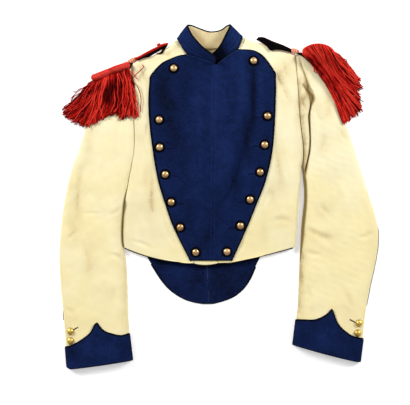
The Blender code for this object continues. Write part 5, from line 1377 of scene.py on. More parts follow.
sleeves, sleeve_rows, uppers, unders = {}, {}, {}, {}
middles = {"left": np.linspace(0, 1, 40)[1:-1],
           "right": np.concatenate([np.linspace(0, 0.26, 38)[1:], np.linspace(0.26, 1, 30)[1:-1]])}
for side, word, table, body, wrist in ((-1, "left", SLEEVE_LEFT, FRONT_LEFT, 19.0),
                                       (1, "right", SLEEVE_RIGHT, FRONT_RIGHT, 19.0)):
    grid, under, rows = sleeve_fine(table, body, side, middles[word])
    grid, under = drawn_up(grid), drawn_up(under)
    fade = np.repeat((ease((wrist + 0.6 - rows) / 0.9) * ease(rows / 0.4))[:, None], grid.shape[1], axis=1)
    trough = relief(grid, ("sleeve_" + word,), 0.45, 48.0, 7 if side < 0 else 9, fade)
    sleeves[word], sleeve_rows[word] = grid, rows
    uppers[word] = wall("sleeve_%s_upper_cloth" % word, grid, CLOTH, WHITE, "sleeve_%s_upper" % word, "white_wool",
                        soil_and_shade=sleeve_soil_and_shade(grid, trough, rows, wrist, side > 0))
    unders[word] = wall("sleeve_%s_under_cloth" % word, under, CLOTH, WHITE, "sleeve_%s_under" % word, "white_wool",
                        soil_and_shade=np.full(under.shape[0] * under.shape[1], 0.75))
    tops.append(grid)


# ----------------------------------------------------------------------- cuffs
def pointed(edge_table, w):
    """Height of a cuff's upper edge across the sleeve: two curves that meet in the point."""
    pts = np.array(edge_table)
    tip = int(np.argmin(pts[:, 1]))
    a, b = through(pts[:tip + 1], 12), through(pts[tip:], 12)
    w = np.asarray(w)
    return np.where(w <= pts[tip, 0], np.interp(w, a[:, 0], a[:, 1]), np.interp(w, b[:, 0], b[:, 1]))


def cuff_fine(cuff, edge_table, rows=28):
    """Inner face of a cuff as a ring round the sleeve's end; the columns of its upper side come first."""
    a0, b0 = plan(*cuff["start"][:2]), plan(*cuff["start"][2:])
    a1, b1 = plan(*cuff["wrist"][:2]), plan(*cuff["wrist"][2:])
    width = float(np.linalg.norm(b0 - a0))
    turn = min(SLEEVE_ROUND, 0.36 * width)
    tip = min(edge_table, key=lambda e: e[1])[0]
    lip, waist, floor_z = 0.1, 7.6, CLOTH + 0.08
    crown = lambda d: 14.7 + 0.6 * np.sin(math.pi * np.clip(d / width, 0, 1))
    u = ROUND_STEPS
    d = -lip * ((1 - u) ** 3 + 3 * (1 - u) ** 2 * u) + turn * (3 * (1 - u) * u * u * 0.35 + u ** 3)
    z = bend(u, waist, crown(d), turn, rise=0.6)[1]
    mid = np.concatenate([np.linspace(turn, tip * width, 24)[1:], np.linspace(tip * width, width - turn, 26)[1:-1]])
    v = np.linspace(0, 1, 7)
    dv = -lip * ((1 - v) ** 3 + 3 * (1 - v) ** 2 * v) - 0.6 * 3 * (1 - v) * v * v + 1.2 * v ** 3
    zv = (1 - v) ** 3 * waist + 3 * (1 - v) ** 2 * v * (waist - 3.4) + (3 * (1 - v) * v * v + v ** 3) * floor_z
    flat = np.linspace(1.2, width - 1.2, 20)[1:-1]
    across = np.concatenate([d, mid, (width - d)[::-1], (width - dv)[1:], flat[::-1], dv[::-1][:-1]])
    height = np.concatenate([z, crown(mid), z[::-1], zv[1:], np.full(len(flat), floor_z), zv[::-1][:-1]])
    top = 2 * len(d) + len(mid)
    w = across / width
    shut = np.clip(w, 0, 1)
    upper = pointed(edge_table, shut)
    below = edge_table[0][1] + (edge_table[-1][1] - edge_table[0][1]) * shut
    s0 = np.where(np.arange(len(w)) < top, upper, below)
    grid = []
    for i in range(rows):
        s = s0 + (1 - s0) * i / (rows - 1)
        a, b = a0 + (a1 - a0) * s[:, None], b0 + (b1 - b0) * s[:, None]
        p = a + (b - a) * w[:, None]
        p[:, 1] -= cuff["bow"] * SQUARE * s * 4 * shut * (1 - shut)
        p[:, 1] += cuff["corner"] * SQUARE * s ** 3 * np.clip((shut - .93) / .07, 0, 1) ** 2
        grid.append(np.column_stack([p, height]))
    return np.array(grid), top


cuffs, cuff_grids, cuff_tops = {}, {}, {}
for word, cuff, edge_table in (("left", CUFF_LEFT, CUFF_EDGE_LEFT), ("right", CUFF_RIGHT, CUFF_EDGE_RIGHT)):
    grid, top = cuff_fine(cuff, edge_table)
    flat = grid.reshape(-1, 3)
    dz, _ = creases(flat[:, :2], ("cuff_" + word,))
    keep = np.clip((flat[:, 2] - 11.0) / 3.0, 0, 1)
    dents = sum(0.5 * np.exp(-((flat[:, :2] - plan(*p)) ** 2).sum(1) / 80.0)
                for p in (SLEEVE_BUTTONS_LEFT if word == "left" else SLEEVE_BUTTONS_RIGHT))
    flat[:, 2] += (dz - dents + 0.25 * uneven(flat[:, :2], 40.0, 21)) * keep
    round_off = np.maximum(border(grid, True), 0).reshape(grid.shape[:2])
    side_edge = np.minimum(*(np.linalg.norm(grid[:, :, :2] - grid[:, k:k + 1, :2], axis=2) for k in (0, top - 1)))
    side_edge[:, top:] = 0
    # the cuff's edges go near black: partly binding and wear, partly painted shade along the wrist and the sides
    wear_and_shade = np.maximum(np.exp(-round_off / 2.4), np.exp(-side_edge / 1.7))
    cuffs[word] = wall("cuff_%s_cloth" % word, grid, CLOTH, NAVY, "cuff_" + word, "blue_cloth",
                       soil_and_shade=napped_and_shaded(flat[:, :2], 0.40), wear_and_shade=wear_and_shade, ring=True, inward=False)
    cuff_grids[word], cuff_tops[word] = grid, top
    outer = (grid + normals(grid, True) * CLOTH)[:, :top]
    tops.append(outer)

# ----------------------------------------------------------------------- tails
tails, tail_grids = {}, {}
for word, table, away in (("left", TAIL_LEFT, -1), ("right", TAIL_RIGHT, 1)):
    rows = []
    for k in range(44):
        row = (len(table) - 1) * k / 43
        o = plan(at(table, TAIL_HEAD, "out_x", row), at(table, TAIL_HEAD, "out_y", row))
        s = plan((at(TAIL_LEFT, TAIL_HEAD, "seam_x", row) + at(TAIL_RIGHT, TAIL_HEAD, "seam_x", row)) / 2,
                 (at(TAIL_LEFT, TAIL_HEAD, "seam_y", row) + at(TAIL_RIGHT, TAIL_HEAD, "seam_y", row)) / 2)
        s[0] += away * 0.03
        w = np.linspace(0, 1, 34)
        rows.append(np.column_stack([o + (s - o) * w[:, None], np.full(34, CLOTH)]))
    grid = np.array(rows)
    w = (grid[0, :, 0] - left[0, 0, 0]) / (right[0, 0, 0] - left[0, 0, 0])
    waist = left[0, 0, 1] + (right[0, 0, 1] - left[0, 0, 1]) * w - BACK_DIP[0] * SQUARE * 4 * w * (1 - w) - 2 * GAP
    pull = (1 - np.arange(44) / 43.0) ** 6
    grid[:, :, 1] += (waist - grid[0, :, 1])[None, :] * pull[:, None]
    dz, _ = creases(grid.reshape(-1, 3)[:, :2], ("tail",))
    inner = np.clip(border(grid) / 9.0, 0, 1)
    grid[:, :, 2] += ((dz + 0.22 * uneven(grid.reshape(-1, 3)[:, :2], 45.0, 31)) * inner).reshape(grid.shape[:2])
    tail_grids[word] = grid
    gap = lambda k: np.linalg.norm(grid - grid[:, k][:, None], axis=2)
    down = np.linalg.norm(grid - grid[:1], axis=2)
    soil_and_shade = napped_and_shaded(grid.reshape(-1, 3)[:, :2], 0.30 if away < 0 else 0.22).reshape(grid.shape[:2])
    # lighter lines beside the seam; the top of each tail, under the hem, is darkened: painted shadow of the hem
    soil_and_shade += 0.30 * np.exp(-((gap(-1) - 3.0) / 1.4) ** 2) - 0.30 * np.exp(-down / 14.0)
    wear_and_shade = np.maximum(np.exp(-gap(0) / 2.2), np.exp(-np.linalg.norm(grid - grid[-1:], axis=2) / 2.2))
    # near-black edges, and near black again under the hem as painted shadow
    wear_and_shade = np.maximum(wear_and_shade, 0.62 * np.exp(-down / 7.0)) * np.clip(gap(-1) / 1.5, .25, 1)
    tails[word] = wall("tail_%s_cloth" % word, grid, CLOTH, NAVY, "tail_" + word, "blue_cloth", flat_below=0.05,
                       soil_and_shade=np.clip(soil_and_shade, 0, 1), wear_and_shade=wear_and_shade, sewn={-1: 0.08})

# ------------------------------------------------------------ collar and lining
stations = np.linspace(0, len(COLLAR) - 1, 150)
heights = np.linspace(0, 1, 14)
band = []
for row in stations:
    base = np.array([*plan(at(COLLAR, COLLAR_HEAD, "base_x", row), at(COLLAR, COLLAR_HEAD, "base_y", row)),
                     at(COLLAR, COLLAR_HEAD, "base_z", row)])
    top = np.array([*plan(at(COLLAR, COLLAR_HEAD, "top_x", row), at(COLLAR, COLLAR_HEAD, "top_y", row)),
                    at(COLLAR, COLLAR_HEAD, "top_z", row)])
    band.append(base + (top - base) * heights[:, None])
band = np.array(band)
run = np.gradient(band[:, 0, :2], axis=0)
run /= np.maximum(np.linalg.norm(run, axis=1, keepdims=True), 1e-9)
lower = np.column_stack([run[:, 1], -run[:, 0]])
lower[lower[:, 1] > 0] *= -1
reach = 2.0 * np.maximum(ease((6.9 - stations) / 1.2), ease((stations - 15.1) / 1.2) * ease((21.2 - stations) / 1.0))
band[:, :, :2] += lower[:, None] * reach[:, None, None] * ((1 - heights) ** 2)[None, :, None]
band[:, :, 2] = np.maximum(band[:, :, 2], 0.1)
outward = normals(band)
if outward[0, :, 1].mean() > 0:
    outward = -outward
swell = 0.55 * np.sin(math.pi * heights)[None, :, None] + 0.35 * uneven(
    np.column_stack([np.repeat(stations * 12.0, len(heights)), np.tile(heights * 20.0, len(stations))]), 60.0, 41
).reshape(len(stations), len(heights), 1) * np.sin(math.pi * heights)[None, :, None]
upright = np.clip(band[:, :, 2:] / 12.0, 0, 1)
collar_grid = band + outward * swell * upright
bands = 0.46 + sum(a * np.exp(-((heights - h) / .055) ** 2) for h, a in ((.23, .26), (.46, .22), (.69, .22), (.90, .15)))
collar_lines_and_shade = np.repeat(bands[None, :], len(stations), axis=0)
# lighter lines along the band; the end tucked under the left end is darkened: painted shadow
collar_lines_and_shade -= 0.40 * ease((stations - 17.6) / 2.0)[:, None]
# dark edges, partly binding and partly painted shade; the tucked end near black: painted shadow
collar_edges_and_shadow = np.maximum(np.exp(-border(band) / 1.8), 0.9 * np.repeat(ease((stations - 18.4) / 1.6), len(heights)))
collar = wall("collar_cloth", collar_grid, COLLAR_CLOTH, NAVY, "collar", "blue_cloth", n=outward,
              soil_and_shade=np.clip(collar_lines_and_shade, 0, 1), wear_and_shade=collar_edges_and_shadow)
inner = band - outward * (COLLAR_CLOTH + GAP)
inner[:, -1] -= (band[:, -1] - band[:, -2]) * 0.4
inner = inner[4:-4]
# the lining darkens towards its foot at the back's middle: painted shade
lining = wall("collar_lining_cloth", inner, LINING, LINEN, "collar_lining", "collar_lining", n=outward[4:-4],
              soil_and_shade=np.clip(0.20 + (0.25 + 0.75 * np.exp(-heights / 0.13))[None, :] * np.exp(-((stations[4:-4] - 11) / 5.0) ** 2)[:, None],
                           0, 1))


# ---------------------------------------------------------------------- piping
def cord(name, points, radius, nodes, seed, step=2.6):
    """Piping: a cord a little uneven in thickness, along a line."""
    line = spaced(np.asarray(points, float), step)
    line = spaced(through(line[::2] if len(line) > 8 else line, 4), step)
    s = along(line)
    thick = radius * (1 + 0.05 * uneven(np.column_stack([s, np.zeros(len(s))]), 17.0, seed))
    heap = Heap()
    heap.add(tube(line, thick, 10, twist=0.02), 0.5)
    return heap.piece(name, PIPING, nodes, "piping")


off = PIPE_R + GAP + 0.1
for word, grid, away in (("left", left, -1), ("right", right, 1)):
    n = normals(grid)
    line = []
    for i in range(first_row, grid.shape[0]):
        p, q = grid[i, edge], grid[i, edge - 1]
        out = (q - p) / np.linalg.norm(q - p)
        line.append(p + out * 1.02 + n[i, edge] * (PIPE_R + 0.12))
    cord("plastron_%s_cord" % word, line, PIPE_R * 1.1, "plastron_%s_piping" % word, 3)
    hem = grid[0, 7:].copy()
    hem[:, 1] -= PIPE_R - 0.1
    hem[:, 2] = np.maximum(hem[:, 2] - 1.2, CLOTH + GAP + PIPE_R + 0.1)
    if away > 0:
        hem[-1, 0] += 0.6
    cord("waist_%s_cord" % word, hem, PIPE_R, "waist_%s_piping" % word, 4)
    sleeve = sleeves[word]
    keep = (sleeve_rows[word] >= 9.0) & (sleeve_rows[word] <= 18.9)
    shown = ease((sleeve_rows[word][keep] - (17.4 if away < 0 else 12.2)) / 1.2)
    line = np.column_stack([sleeve[keep, -1, 0] + away * (-2.2 + (PIPE_R + 1.75) * shown), sleeve[keep, -1, 1],
                            np.full(keep.sum(), 1.6)])
    cord("sleeve_%s_cord" % word, line, PIPE_R, "sleeve_%s_piping" % word, 5)
    # round the pointed edge of the cuff
    ring, top = cuff_grids[word], cuff_tops[word]
    brow = ring[0, 2:top - 2]
    outer = brow + normals(ring, True)[0, 2:top - 2] * (CLOTH * 0.5)
    ahead = np.gradient(brow[:, :2], axis=0)
    ahead = np.column_stack([-ahead[:, 1], ahead[:, 0]])
    ahead /= np.linalg.norm(ahead, axis=1, keepdims=True)
    if ahead[:, 1].mean() < 0:
        ahead = -ahead
    line = np.column_stack([outer[:, :2] + ahead * 0.9, outer[:, 2]])
    heap = Heap()
    heap.add(tube(spaced(line, 1.5), 0.95, 8), 0.5)
    heap.piece("cuff_%s_cord" % word, PIPING, "cuff_%s_piping" % word, "piping")
tail_l, tail_r = tail_grids["left"], tail_grids["right"]
hug = PIPE_R * 0.62
outline = [tail_l[i, 0] + (-hug, -hug * 0.7, 0) for i in range(6, 44)]
outline += [tail_r[i, 0] + (hug, -hug * 0.7, 0) for i in range(43, 5, -1)]
outline = [(p[0], p[1] - hug * 0.4 * math.exp(-((p[0] + 21) / 60) ** 2), PIPE_R + 0.05) for p in outline]
cord("tail_cord", outline, PIPE_R, "tail_piping", 6)
rise = band[:, -1] - band[:, -2]
rise /= np.linalg.norm(rise, axis=1, keepdims=True)
brim = band[:, -1] + rise * (off - 0.4) - outward[:, -1] * (COLLAR_CLOTH / 2)
brim[:, 2] = np.maximum(brim[:, 2], PIPE_R + 0.05)
cord("collar_cord", brim, PIPE_R, "collar_piping", 7)

ground = Ground(tops)


# --------------------------------------------------------------------- buttons
DOME = ((0.0, 1.0), (.10, .995), (.22, .978), (.34, .948), (.46, .90), (.58, .83), (.69, .735), (.79, .615),
        (.87, .48), (.925, .36), (.955, .27), (.975, .22), (.995, .19), (1.0, .15), (.985, .10), (.93, .06),
        (.80, .03), (.55, .01), (.42, .0), (.40, -.12), (0.0, -.12))


def lathe(profile, radius, height, steps=44):
    verts, faces = [], []
    inner = profile[1:-1]
    for r, z in inner:
        a = np.arange(steps) * math.tau / steps
        verts.append(np.column_stack([r * radius * np.cos(a), r * radius * np.sin(a), np.full(steps, z * height)]))
    rows = len(inner)
    verts = np.vstack(verts + [[(0, 0, profile[0][1] * height), (0, 0, profile[-1][1] * height)]])
    for i in range(rows - 1):
        for k in range(steps):
            m = (k + 1) % steps
            faces.append((i * steps + k, (i + 1) * steps + k, (i + 1) * steps + m, i * steps + m))
    top, low, last = rows * steps, rows * steps + 1, (rows - 1) * steps
    faces += [(top, k, (k + 1) % steps) for k in range(steps)]
    faces += [(low, last + (k + 1) % steps, last + k) for k in range(steps)]
    return verts, faces


def button(name, node, spot, diameter, material, seed, rim=0.80):
    """A domed button with a rolled rim, sitting square on the cloth under it."""
    x, y = plan(*spot)
    z, _ = ground.hit(x, y)
    slope = sum((ground.hit(x + r * math.cos(a), y + r * math.sin(a))[1]
                 for r in (4, 7) for a in (k * math.pi / 3 for k in range(6))), Vector())
    rnd = np.random.default_rng(seed)
    normal = (slope.normalized() + Vector((rnd.normal(0, .035), rnd.normal(0, .035), 0))).normalized()
    verts, faces = lathe(DOME, diameter / 2, 1.05 * BUTTON_H * diameter / BUTTON_D)
    turn = np.array(normal.to_track_quat("Z", "Y").to_matrix())
    level = max(ground.hit(x + diameter * .42 * math.cos(a), y + diameter * .42 * math.sin(a))[0]
                - (-(normal.x * math.cos(a) + normal.y * math.sin(a)) / normal.z * diameter * .42)
                for a in (k * math.pi / 4 for k in range(8)))
    # the foot of the dome, for its painted shadow ring
    rim_shadow = ease((np.linalg.norm(verts[:, :2], axis=1) / (diameter / 2) - rim) / 0.10)
    verts = verts @ turn.T + np.array([x, y, max(z + 0.3, level - 0.2)])
    obj = finish_mesh(name, verts, faces, None, {"tone": np.full(len(verts), rnd.uniform()), "wear_and_shade": rim_shadow})
    return settle(obj, material, node)


for word, spots in (("left", PLASTRON_BUTTONS_LEFT), ("right", PLASTRON_BUTTONS_RIGHT)):
    for k, spot in enumerate(spots):
        node = "plastron_button_%s_%d" % (word, k + 1)
        button(node + "_dome", node, spot, BUTTON_D, COPPERY, 11 * k + (word == "left"), 0.76)
for word, spots in (("left", ((70.3, 331.2), (70.4, 340.7))), ("right", ((359.0, 323.0), (357.7, 333.0)))):
    for k, spot in enumerate(spots):
        node = "sleeve_button_%s_%d" % (word, k + 1)
        button(node + "_dome", node, spot, CUFF_BUTTON_D + 0.8, GOLDEN, 71 * k + (word == "left"), 0.90)


# ----------------------------------------------------------- slits and stitches
def lay(points, above, step=1.0, on=None):
    """Drafting-square points carried onto the cloth, a distance above it."""
    line = spaced(through(squares(points), 8), step)
    return np.array([(p[0], p[1], (on or ground).hit(p[0], p[1])[0] + above) for p in line])


def row_of_stitches(heap, line, long=2.6, gap=1.3, radius=0.2, sink=0.1, tone=0.5):
    """Short thread stitches along a line that already lies on the cloth."""
    s = along(line)
    count = int(s[-1] / (long + gap))
    for k in range(count):
        t = (k + 0.5) * (long + gap) + np.array([-.5, -.25, 0, .25, .5]) * long
        p = np.stack([np.interp(t, s, line[:, m]) for m in range(3)], axis=1)
        p[:, 2] += np.array([-sink - radius, 0, .12, 0, -sink - radius])
        heap.add(tube(p, radius, 5, round_ends=False), tone)


SLITS_NAVY = (((243.4, 201.6), (240.2, 202.0), (237.6, 202.4)), ((234.0, 227.4), (231.0, 227.8), (228.0, 228.3)),
              ((258.4, 146.2), (255.4, 146.6), (252.6, 147.0)), ((253.8, 173.6), (250.8, 174.0), (247.8, 174.6)),
              ((261.4, 117.4), (258.2, 117.6), (255.4, 117.9)), ((177.8, 203.4), (180.8, 203.8), (184.0, 204.0)),
              ((171.6, 175.8), (174.8, 176.0), (178.0, 176.3)), ((165.8, 148.6), (169.0, 148.7), (172.2, 148.8)),
              ((165.4, 121.2), (168.6, 121.2), (171.8, 121.3)), ((186.4, 228.4), (189.2, 228.8), (192.0, 229.2)))
# the dark of each slit is painted: near-black cords stand for its stitched lips and for the shade inside it
slits, seams = Heap(), Heap()
for points in SLITS_NAVY:
    line = lay(points, 0.05, 1.2)
    for side in (-1, 1):
        shifted = line + np.array([0, side * 0.42, 0.12])
        slits.add(tube(shifted, 0.34, 6), 0.2)
for points in (((73.6, 329.6), (77.9, 327.2)), ((349.8, 319.4), (355.4, 322.4))):
    line = lay(points, 0.05, 1.0)
    for side in (-1, 1):
        slits.add(tube(line + np.array([0, side * 0.62, 0.16]), 0.62, 6), 0.1)
slit_piece = slits.piece("buttonhole_slits", PIPING, None, "piping")

# top stitching in dark thread: inside the plastron's edges, on the tails and the collar's band
outer_near, outer_far = tops[0], tops[1]
for grid, column in ((outer_near, 2), (outer_far, -3)):
    row_of_stitches(seams, grid[4:-3, column], 2.4, 1.6, 0.17, tone=0.3)
for grid, column in ((outer_near, -2), (outer_far, 1)):
    row_of_stitches(seams, grid[4:-3, column], 2.4, 1.6, 0.15, tone=0.25)
for word in ("left", "right"):
    grid = tail_grids[word]
    row_of_stitches(seams, grid[3:-1, 3], 2.4, 1.6, 0.16, tone=0.3)
for column in (1, -2):
    row_of_stitches(seams, collar_grid[2:68, column], 2.2, 1.4, 0.16, tone=0.5)
stitch_piece = seams.piece("top_stitching", NAVY_THREAD, None, "blue_cloth")


# ------------------------------------------------------------------ epaulettes
# Locks of the fringe: where each starts at the roll, its middle, and its tip.
LOCK_HEAD = ("root_x", "root_y", "half_x", "half_y", "tip_x", "tip_y")
LOCKS_LEFT = (
    (90.8, 80.8, 80.5, 94.0, 63.6, 108.2), (92.4, 80.2, 82.0, 97.6, 63.4, 112.4), (94.6, 79.4, 84.3, 101.0, 66.0, 115.6),
    (97.0, 78.4, 87.5, 103.0, 70.0, 118.6), (99.0, 77.7, 90.5, 104.0, 74.6, 121.2), (101.0, 77.0, 93.5, 104.0, 79.6, 123.6),
    (103.0, 76.2, 96.5, 103.0, 84.8, 124.6), (105.0, 75.4, 99.5, 102.0, 89.8, 124.4), (106.6, 74.8, 102.0, 101.0, 94.6, 122.6),
    (108.2, 74.2, 103.6, 100.0, 99.0, 119.8), (110.0, 73.4, 109.0, 97.0, 103.6, 117.2), (112.0, 72.6, 113.5, 96.0, 108.2, 115.4),
    (114.0, 71.8, 117.0, 96.0, 112.4, 113.6), (116.5, 70.9, 120.0, 95.5, 116.5, 112.0), (119.0, 70.0, 123.5, 94.0, 120.2, 117.0),
    (121.0, 69.3, 125.6, 93.0, 123.0, 118.0), (123.0, 68.5, 127.2, 92.0, 125.8, 115.0), (125.0, 67.9, 129.0, 91.5, 131.4, 114.6),
    (127.0, 67.2, 130.8, 90.0, 134.8, 116.4), (128.6, 66.6, 131.6, 88.0, 137.4, 114.6))
LOCKS_RIGHT = (
    (302.6, 55.0, 324.6, 80.3, 343.0, 119.4), (302.4, 53.0, 326.4, 79.4, 344.6, 120.4), (304.6, 49.8, 328.6, 78.4, 347.4, 119.0),
    (307.0, 47.6, 330.0, 78.0, 349.8, 117.4), (310.0, 46.2, 331.2, 77.6, 352.6, 115.2), (313.0, 45.3, 332.2, 77.2, 356.0, 112.4),
    (316.0, 44.9, 333.4, 76.6, 359.6, 108.8), (319.0, 44.9, 334.8, 75.4, 361.0, 104.0), (321.6, 45.1, 337.0, 73.2, 359.8, 97.0),
    (324.0, 45.6, 339.4, 70.6, 356.8, 90.6), (326.2, 46.4, 341.4, 68.4, 361.0, 86.8), (328.2, 47.4, 343.0, 66.4, 357.8, 82.0),
    (330.0, 48.8, 344.4, 64.6, 360.4, 79.8), (331.8, 50.4, 345.2, 63.0, 356.0, 76.0), (333.2, 52.2, 344.6, 62.2, 352.6, 71.4),
    (334.4, 54.6, 343.0, 61.2, 348.8, 67.0))
# Strands that lie loose, with how bright each is.
STRAYS_LEFT = ((.9, ((128.5, 69.0), (130.4, 71.2), (134.0, 74.4), (136.4, 79.0))),
               (.25, ((129.0, 72.0), (132.4, 80.2), (137.2, 86.4), (140.2, 93.4), (141.3, 100.4), (140.7, 108.0), (141.0, 111.6))),
               (.35, ((134.0, 78.0), (136.2, 75.0), (140.2, 71.0), (143.6, 67.6), (142.4, 65.0))),
               (.1, ((95.0, 84.0), (91.0, 87.8), (85.0, 87.6), (79.0, 88.6), (75.0, 91.6), (72.2, 90.4))),
               (.8, ((104.0, 100.0), (99.0, 112.0), (97.6, 121.0))), (.7, ((90.0, 84.0), (84.0, 86.6), (77.0, 91.6), (70.0, 98.0))))
STRAYS_RIGHT = ((.2, ((338.0, 61.5), (343.0, 58.7), (346.0, 58.7), (347.4, 61.0), (346.8, 64.2), (343.0, 66.0))),
                (.8, ((346.0, 66.0), (353.0, 71.0), (358.6, 79.4))), (.7, ((350.0, 96.0), (347.0, 110.0), (343.6, 121.5))),
                (.9, ((336.0, 62.0), (345.0, 66.0), (352.0, 67.6))), (.8, ((352.0, 84.0), (358.0, 86.6), (364.0, 86.2))),
                (.6, ((350.0, 88.0), (356.0, 93.0), (361.6, 93.6))))
# Hollows of the fringe, where little light comes in.
HOLLOWS = ((107.5, 97.0, 3.8, 6.4, 1.10), (113.0, 87.0, 5.0, 5.4, .55), (104.0, 90.0, 4.0, 5.0, .25), (118.5, 101.0, 1.6, 9.0, .5), (127.6, 106.0, 1.3, 7.0, .6),
           (99.0, 106.0, 2.0, 8.0, .22), (88.0, 112.0, 2.0, 7.0, .2), (128.0, 74.0, 1.5, 4.0, .4),
           (310.5, 61.0, 4.2, 4.0, .90), (316.0, 67.0, 4.6, 4.4, .70), (322.6, 74.0, 4.0, 4.6, .70), (329.0, 82.0, 3.8, 5.0, .70),
           (334.4, 90.0, 3.4, 5.4, .62), (338.6, 98.5, 2.8, 5.4, .55), (342.0, 107.0, 2.2, 5.0, .35),
           (336.0, 80.0, 2.4, 5.0, .30), (343.0, 93.0, 2.4, 7.0, .30), (324.0, 62.0, 3.0, 3.4, .22))
STRANDS = {"left": (600, 11.0), "right": (470, 14.0)}     # how many, and the heap's depth
THREAD = 0.92


def fringe_height(xy):
    """What a strand lies on: the highest cloth just round it."""
    return max([ground.hit(xy[0], xy[1])[0]]
               + [ground.hit(xy[0] + 3.2 * math.cos(a), xy[1] + 3.2 * math.sin(a))[0]
                  for a in (k * math.tau / 5 for k in range(5))])


def fringe_bed(locks, roll_line):
    """Heights of the bed the fringe lies on, by lock and by share of the way to its tip:
    the cloth's highest points near there, smoothed so that neighbouring strands lie alike."""
    shares = np.linspace(0, 1, 15)
    last = len(locks) - 1
    ranks = np.linspace(0, last, 2 * last + 1)
    bed = np.zeros((len(ranks), len(shares)))
    for i, r in enumerate(ranks):
        root, half, tip = [plan(at(locks, LOCK_HEAD, a + "_x", r), at(locks, LOCK_HEAD, a + "_y", r))
                           for a in ("root", "half", "tip")]
        ctrl = 2 * half - 0.5 * (root + tip)
        for k, s in enumerate(shares):
            p = (1 - s) ** 2 * root + 2 * s * (1 - s) * ctrl + s * s * tip
            around = [p] + [p + r * np.array([math.cos(a), math.sin(a)]) for r in (4, 8, 13, 18, 24, 31)
                            for a in (j * math.tau / 9 + r for j in range(9))]
            fall = np.array([0.0] + [r * .42 for r in (4, 8, 13, 18, 24, 31) for _ in range(9)])
            high = np.array([ground.hit(q[0], q[1])[0] for q in around])
            if roll_line is not None:
                high = np.maximum(high, over_roll(np.array(around), roll_line, 0.0))
            bed[i, k] = (high - fall).max()
    for _ in range(3):
        bed[1:-1] = 0.5 * bed[1:-1] + 0.25 * (bed[:-2] + bed[2:])
        bed[:, 1:-1] = 0.5 * bed[:, 1:-1] + 0.25 * (bed[:, :-2] + bed[:, 2:])
    return ranks, shares, bed


def shaded(verts, tone):
    """A strand's tone, lower in the hollows."""
    out = np.full(len(verts), float(tone))
    for x, y, rx, ry, amount in HOLLOWS:
        c = plan(x, y)
        d = ((verts[:, 0] - c[0]) / (rx * SQUARE)) ** 2 + ((verts[:, 1] - c[1]) / (ry * SQUARE)) ** 2
        out -= amount * np.exp(-d)
    return np.clip(out, 0, 1)


def over_roll(xy, roll_line, lift):
    """Height of the roll's top at plan positions, where it is beneath them."""
    d = np.linalg.norm(xy[:, None] - roll_line[None, :, :2], axis=2)
    k = d.argmin(axis=1)
    near = d[np.arange(len(xy)), k]
    reach = ROLL_R + lift
    return np.where(near < reach, roll_line[k, 2] + np.sqrt(np.maximum(reach ** 2 - near ** 2, 0)), 0.0)


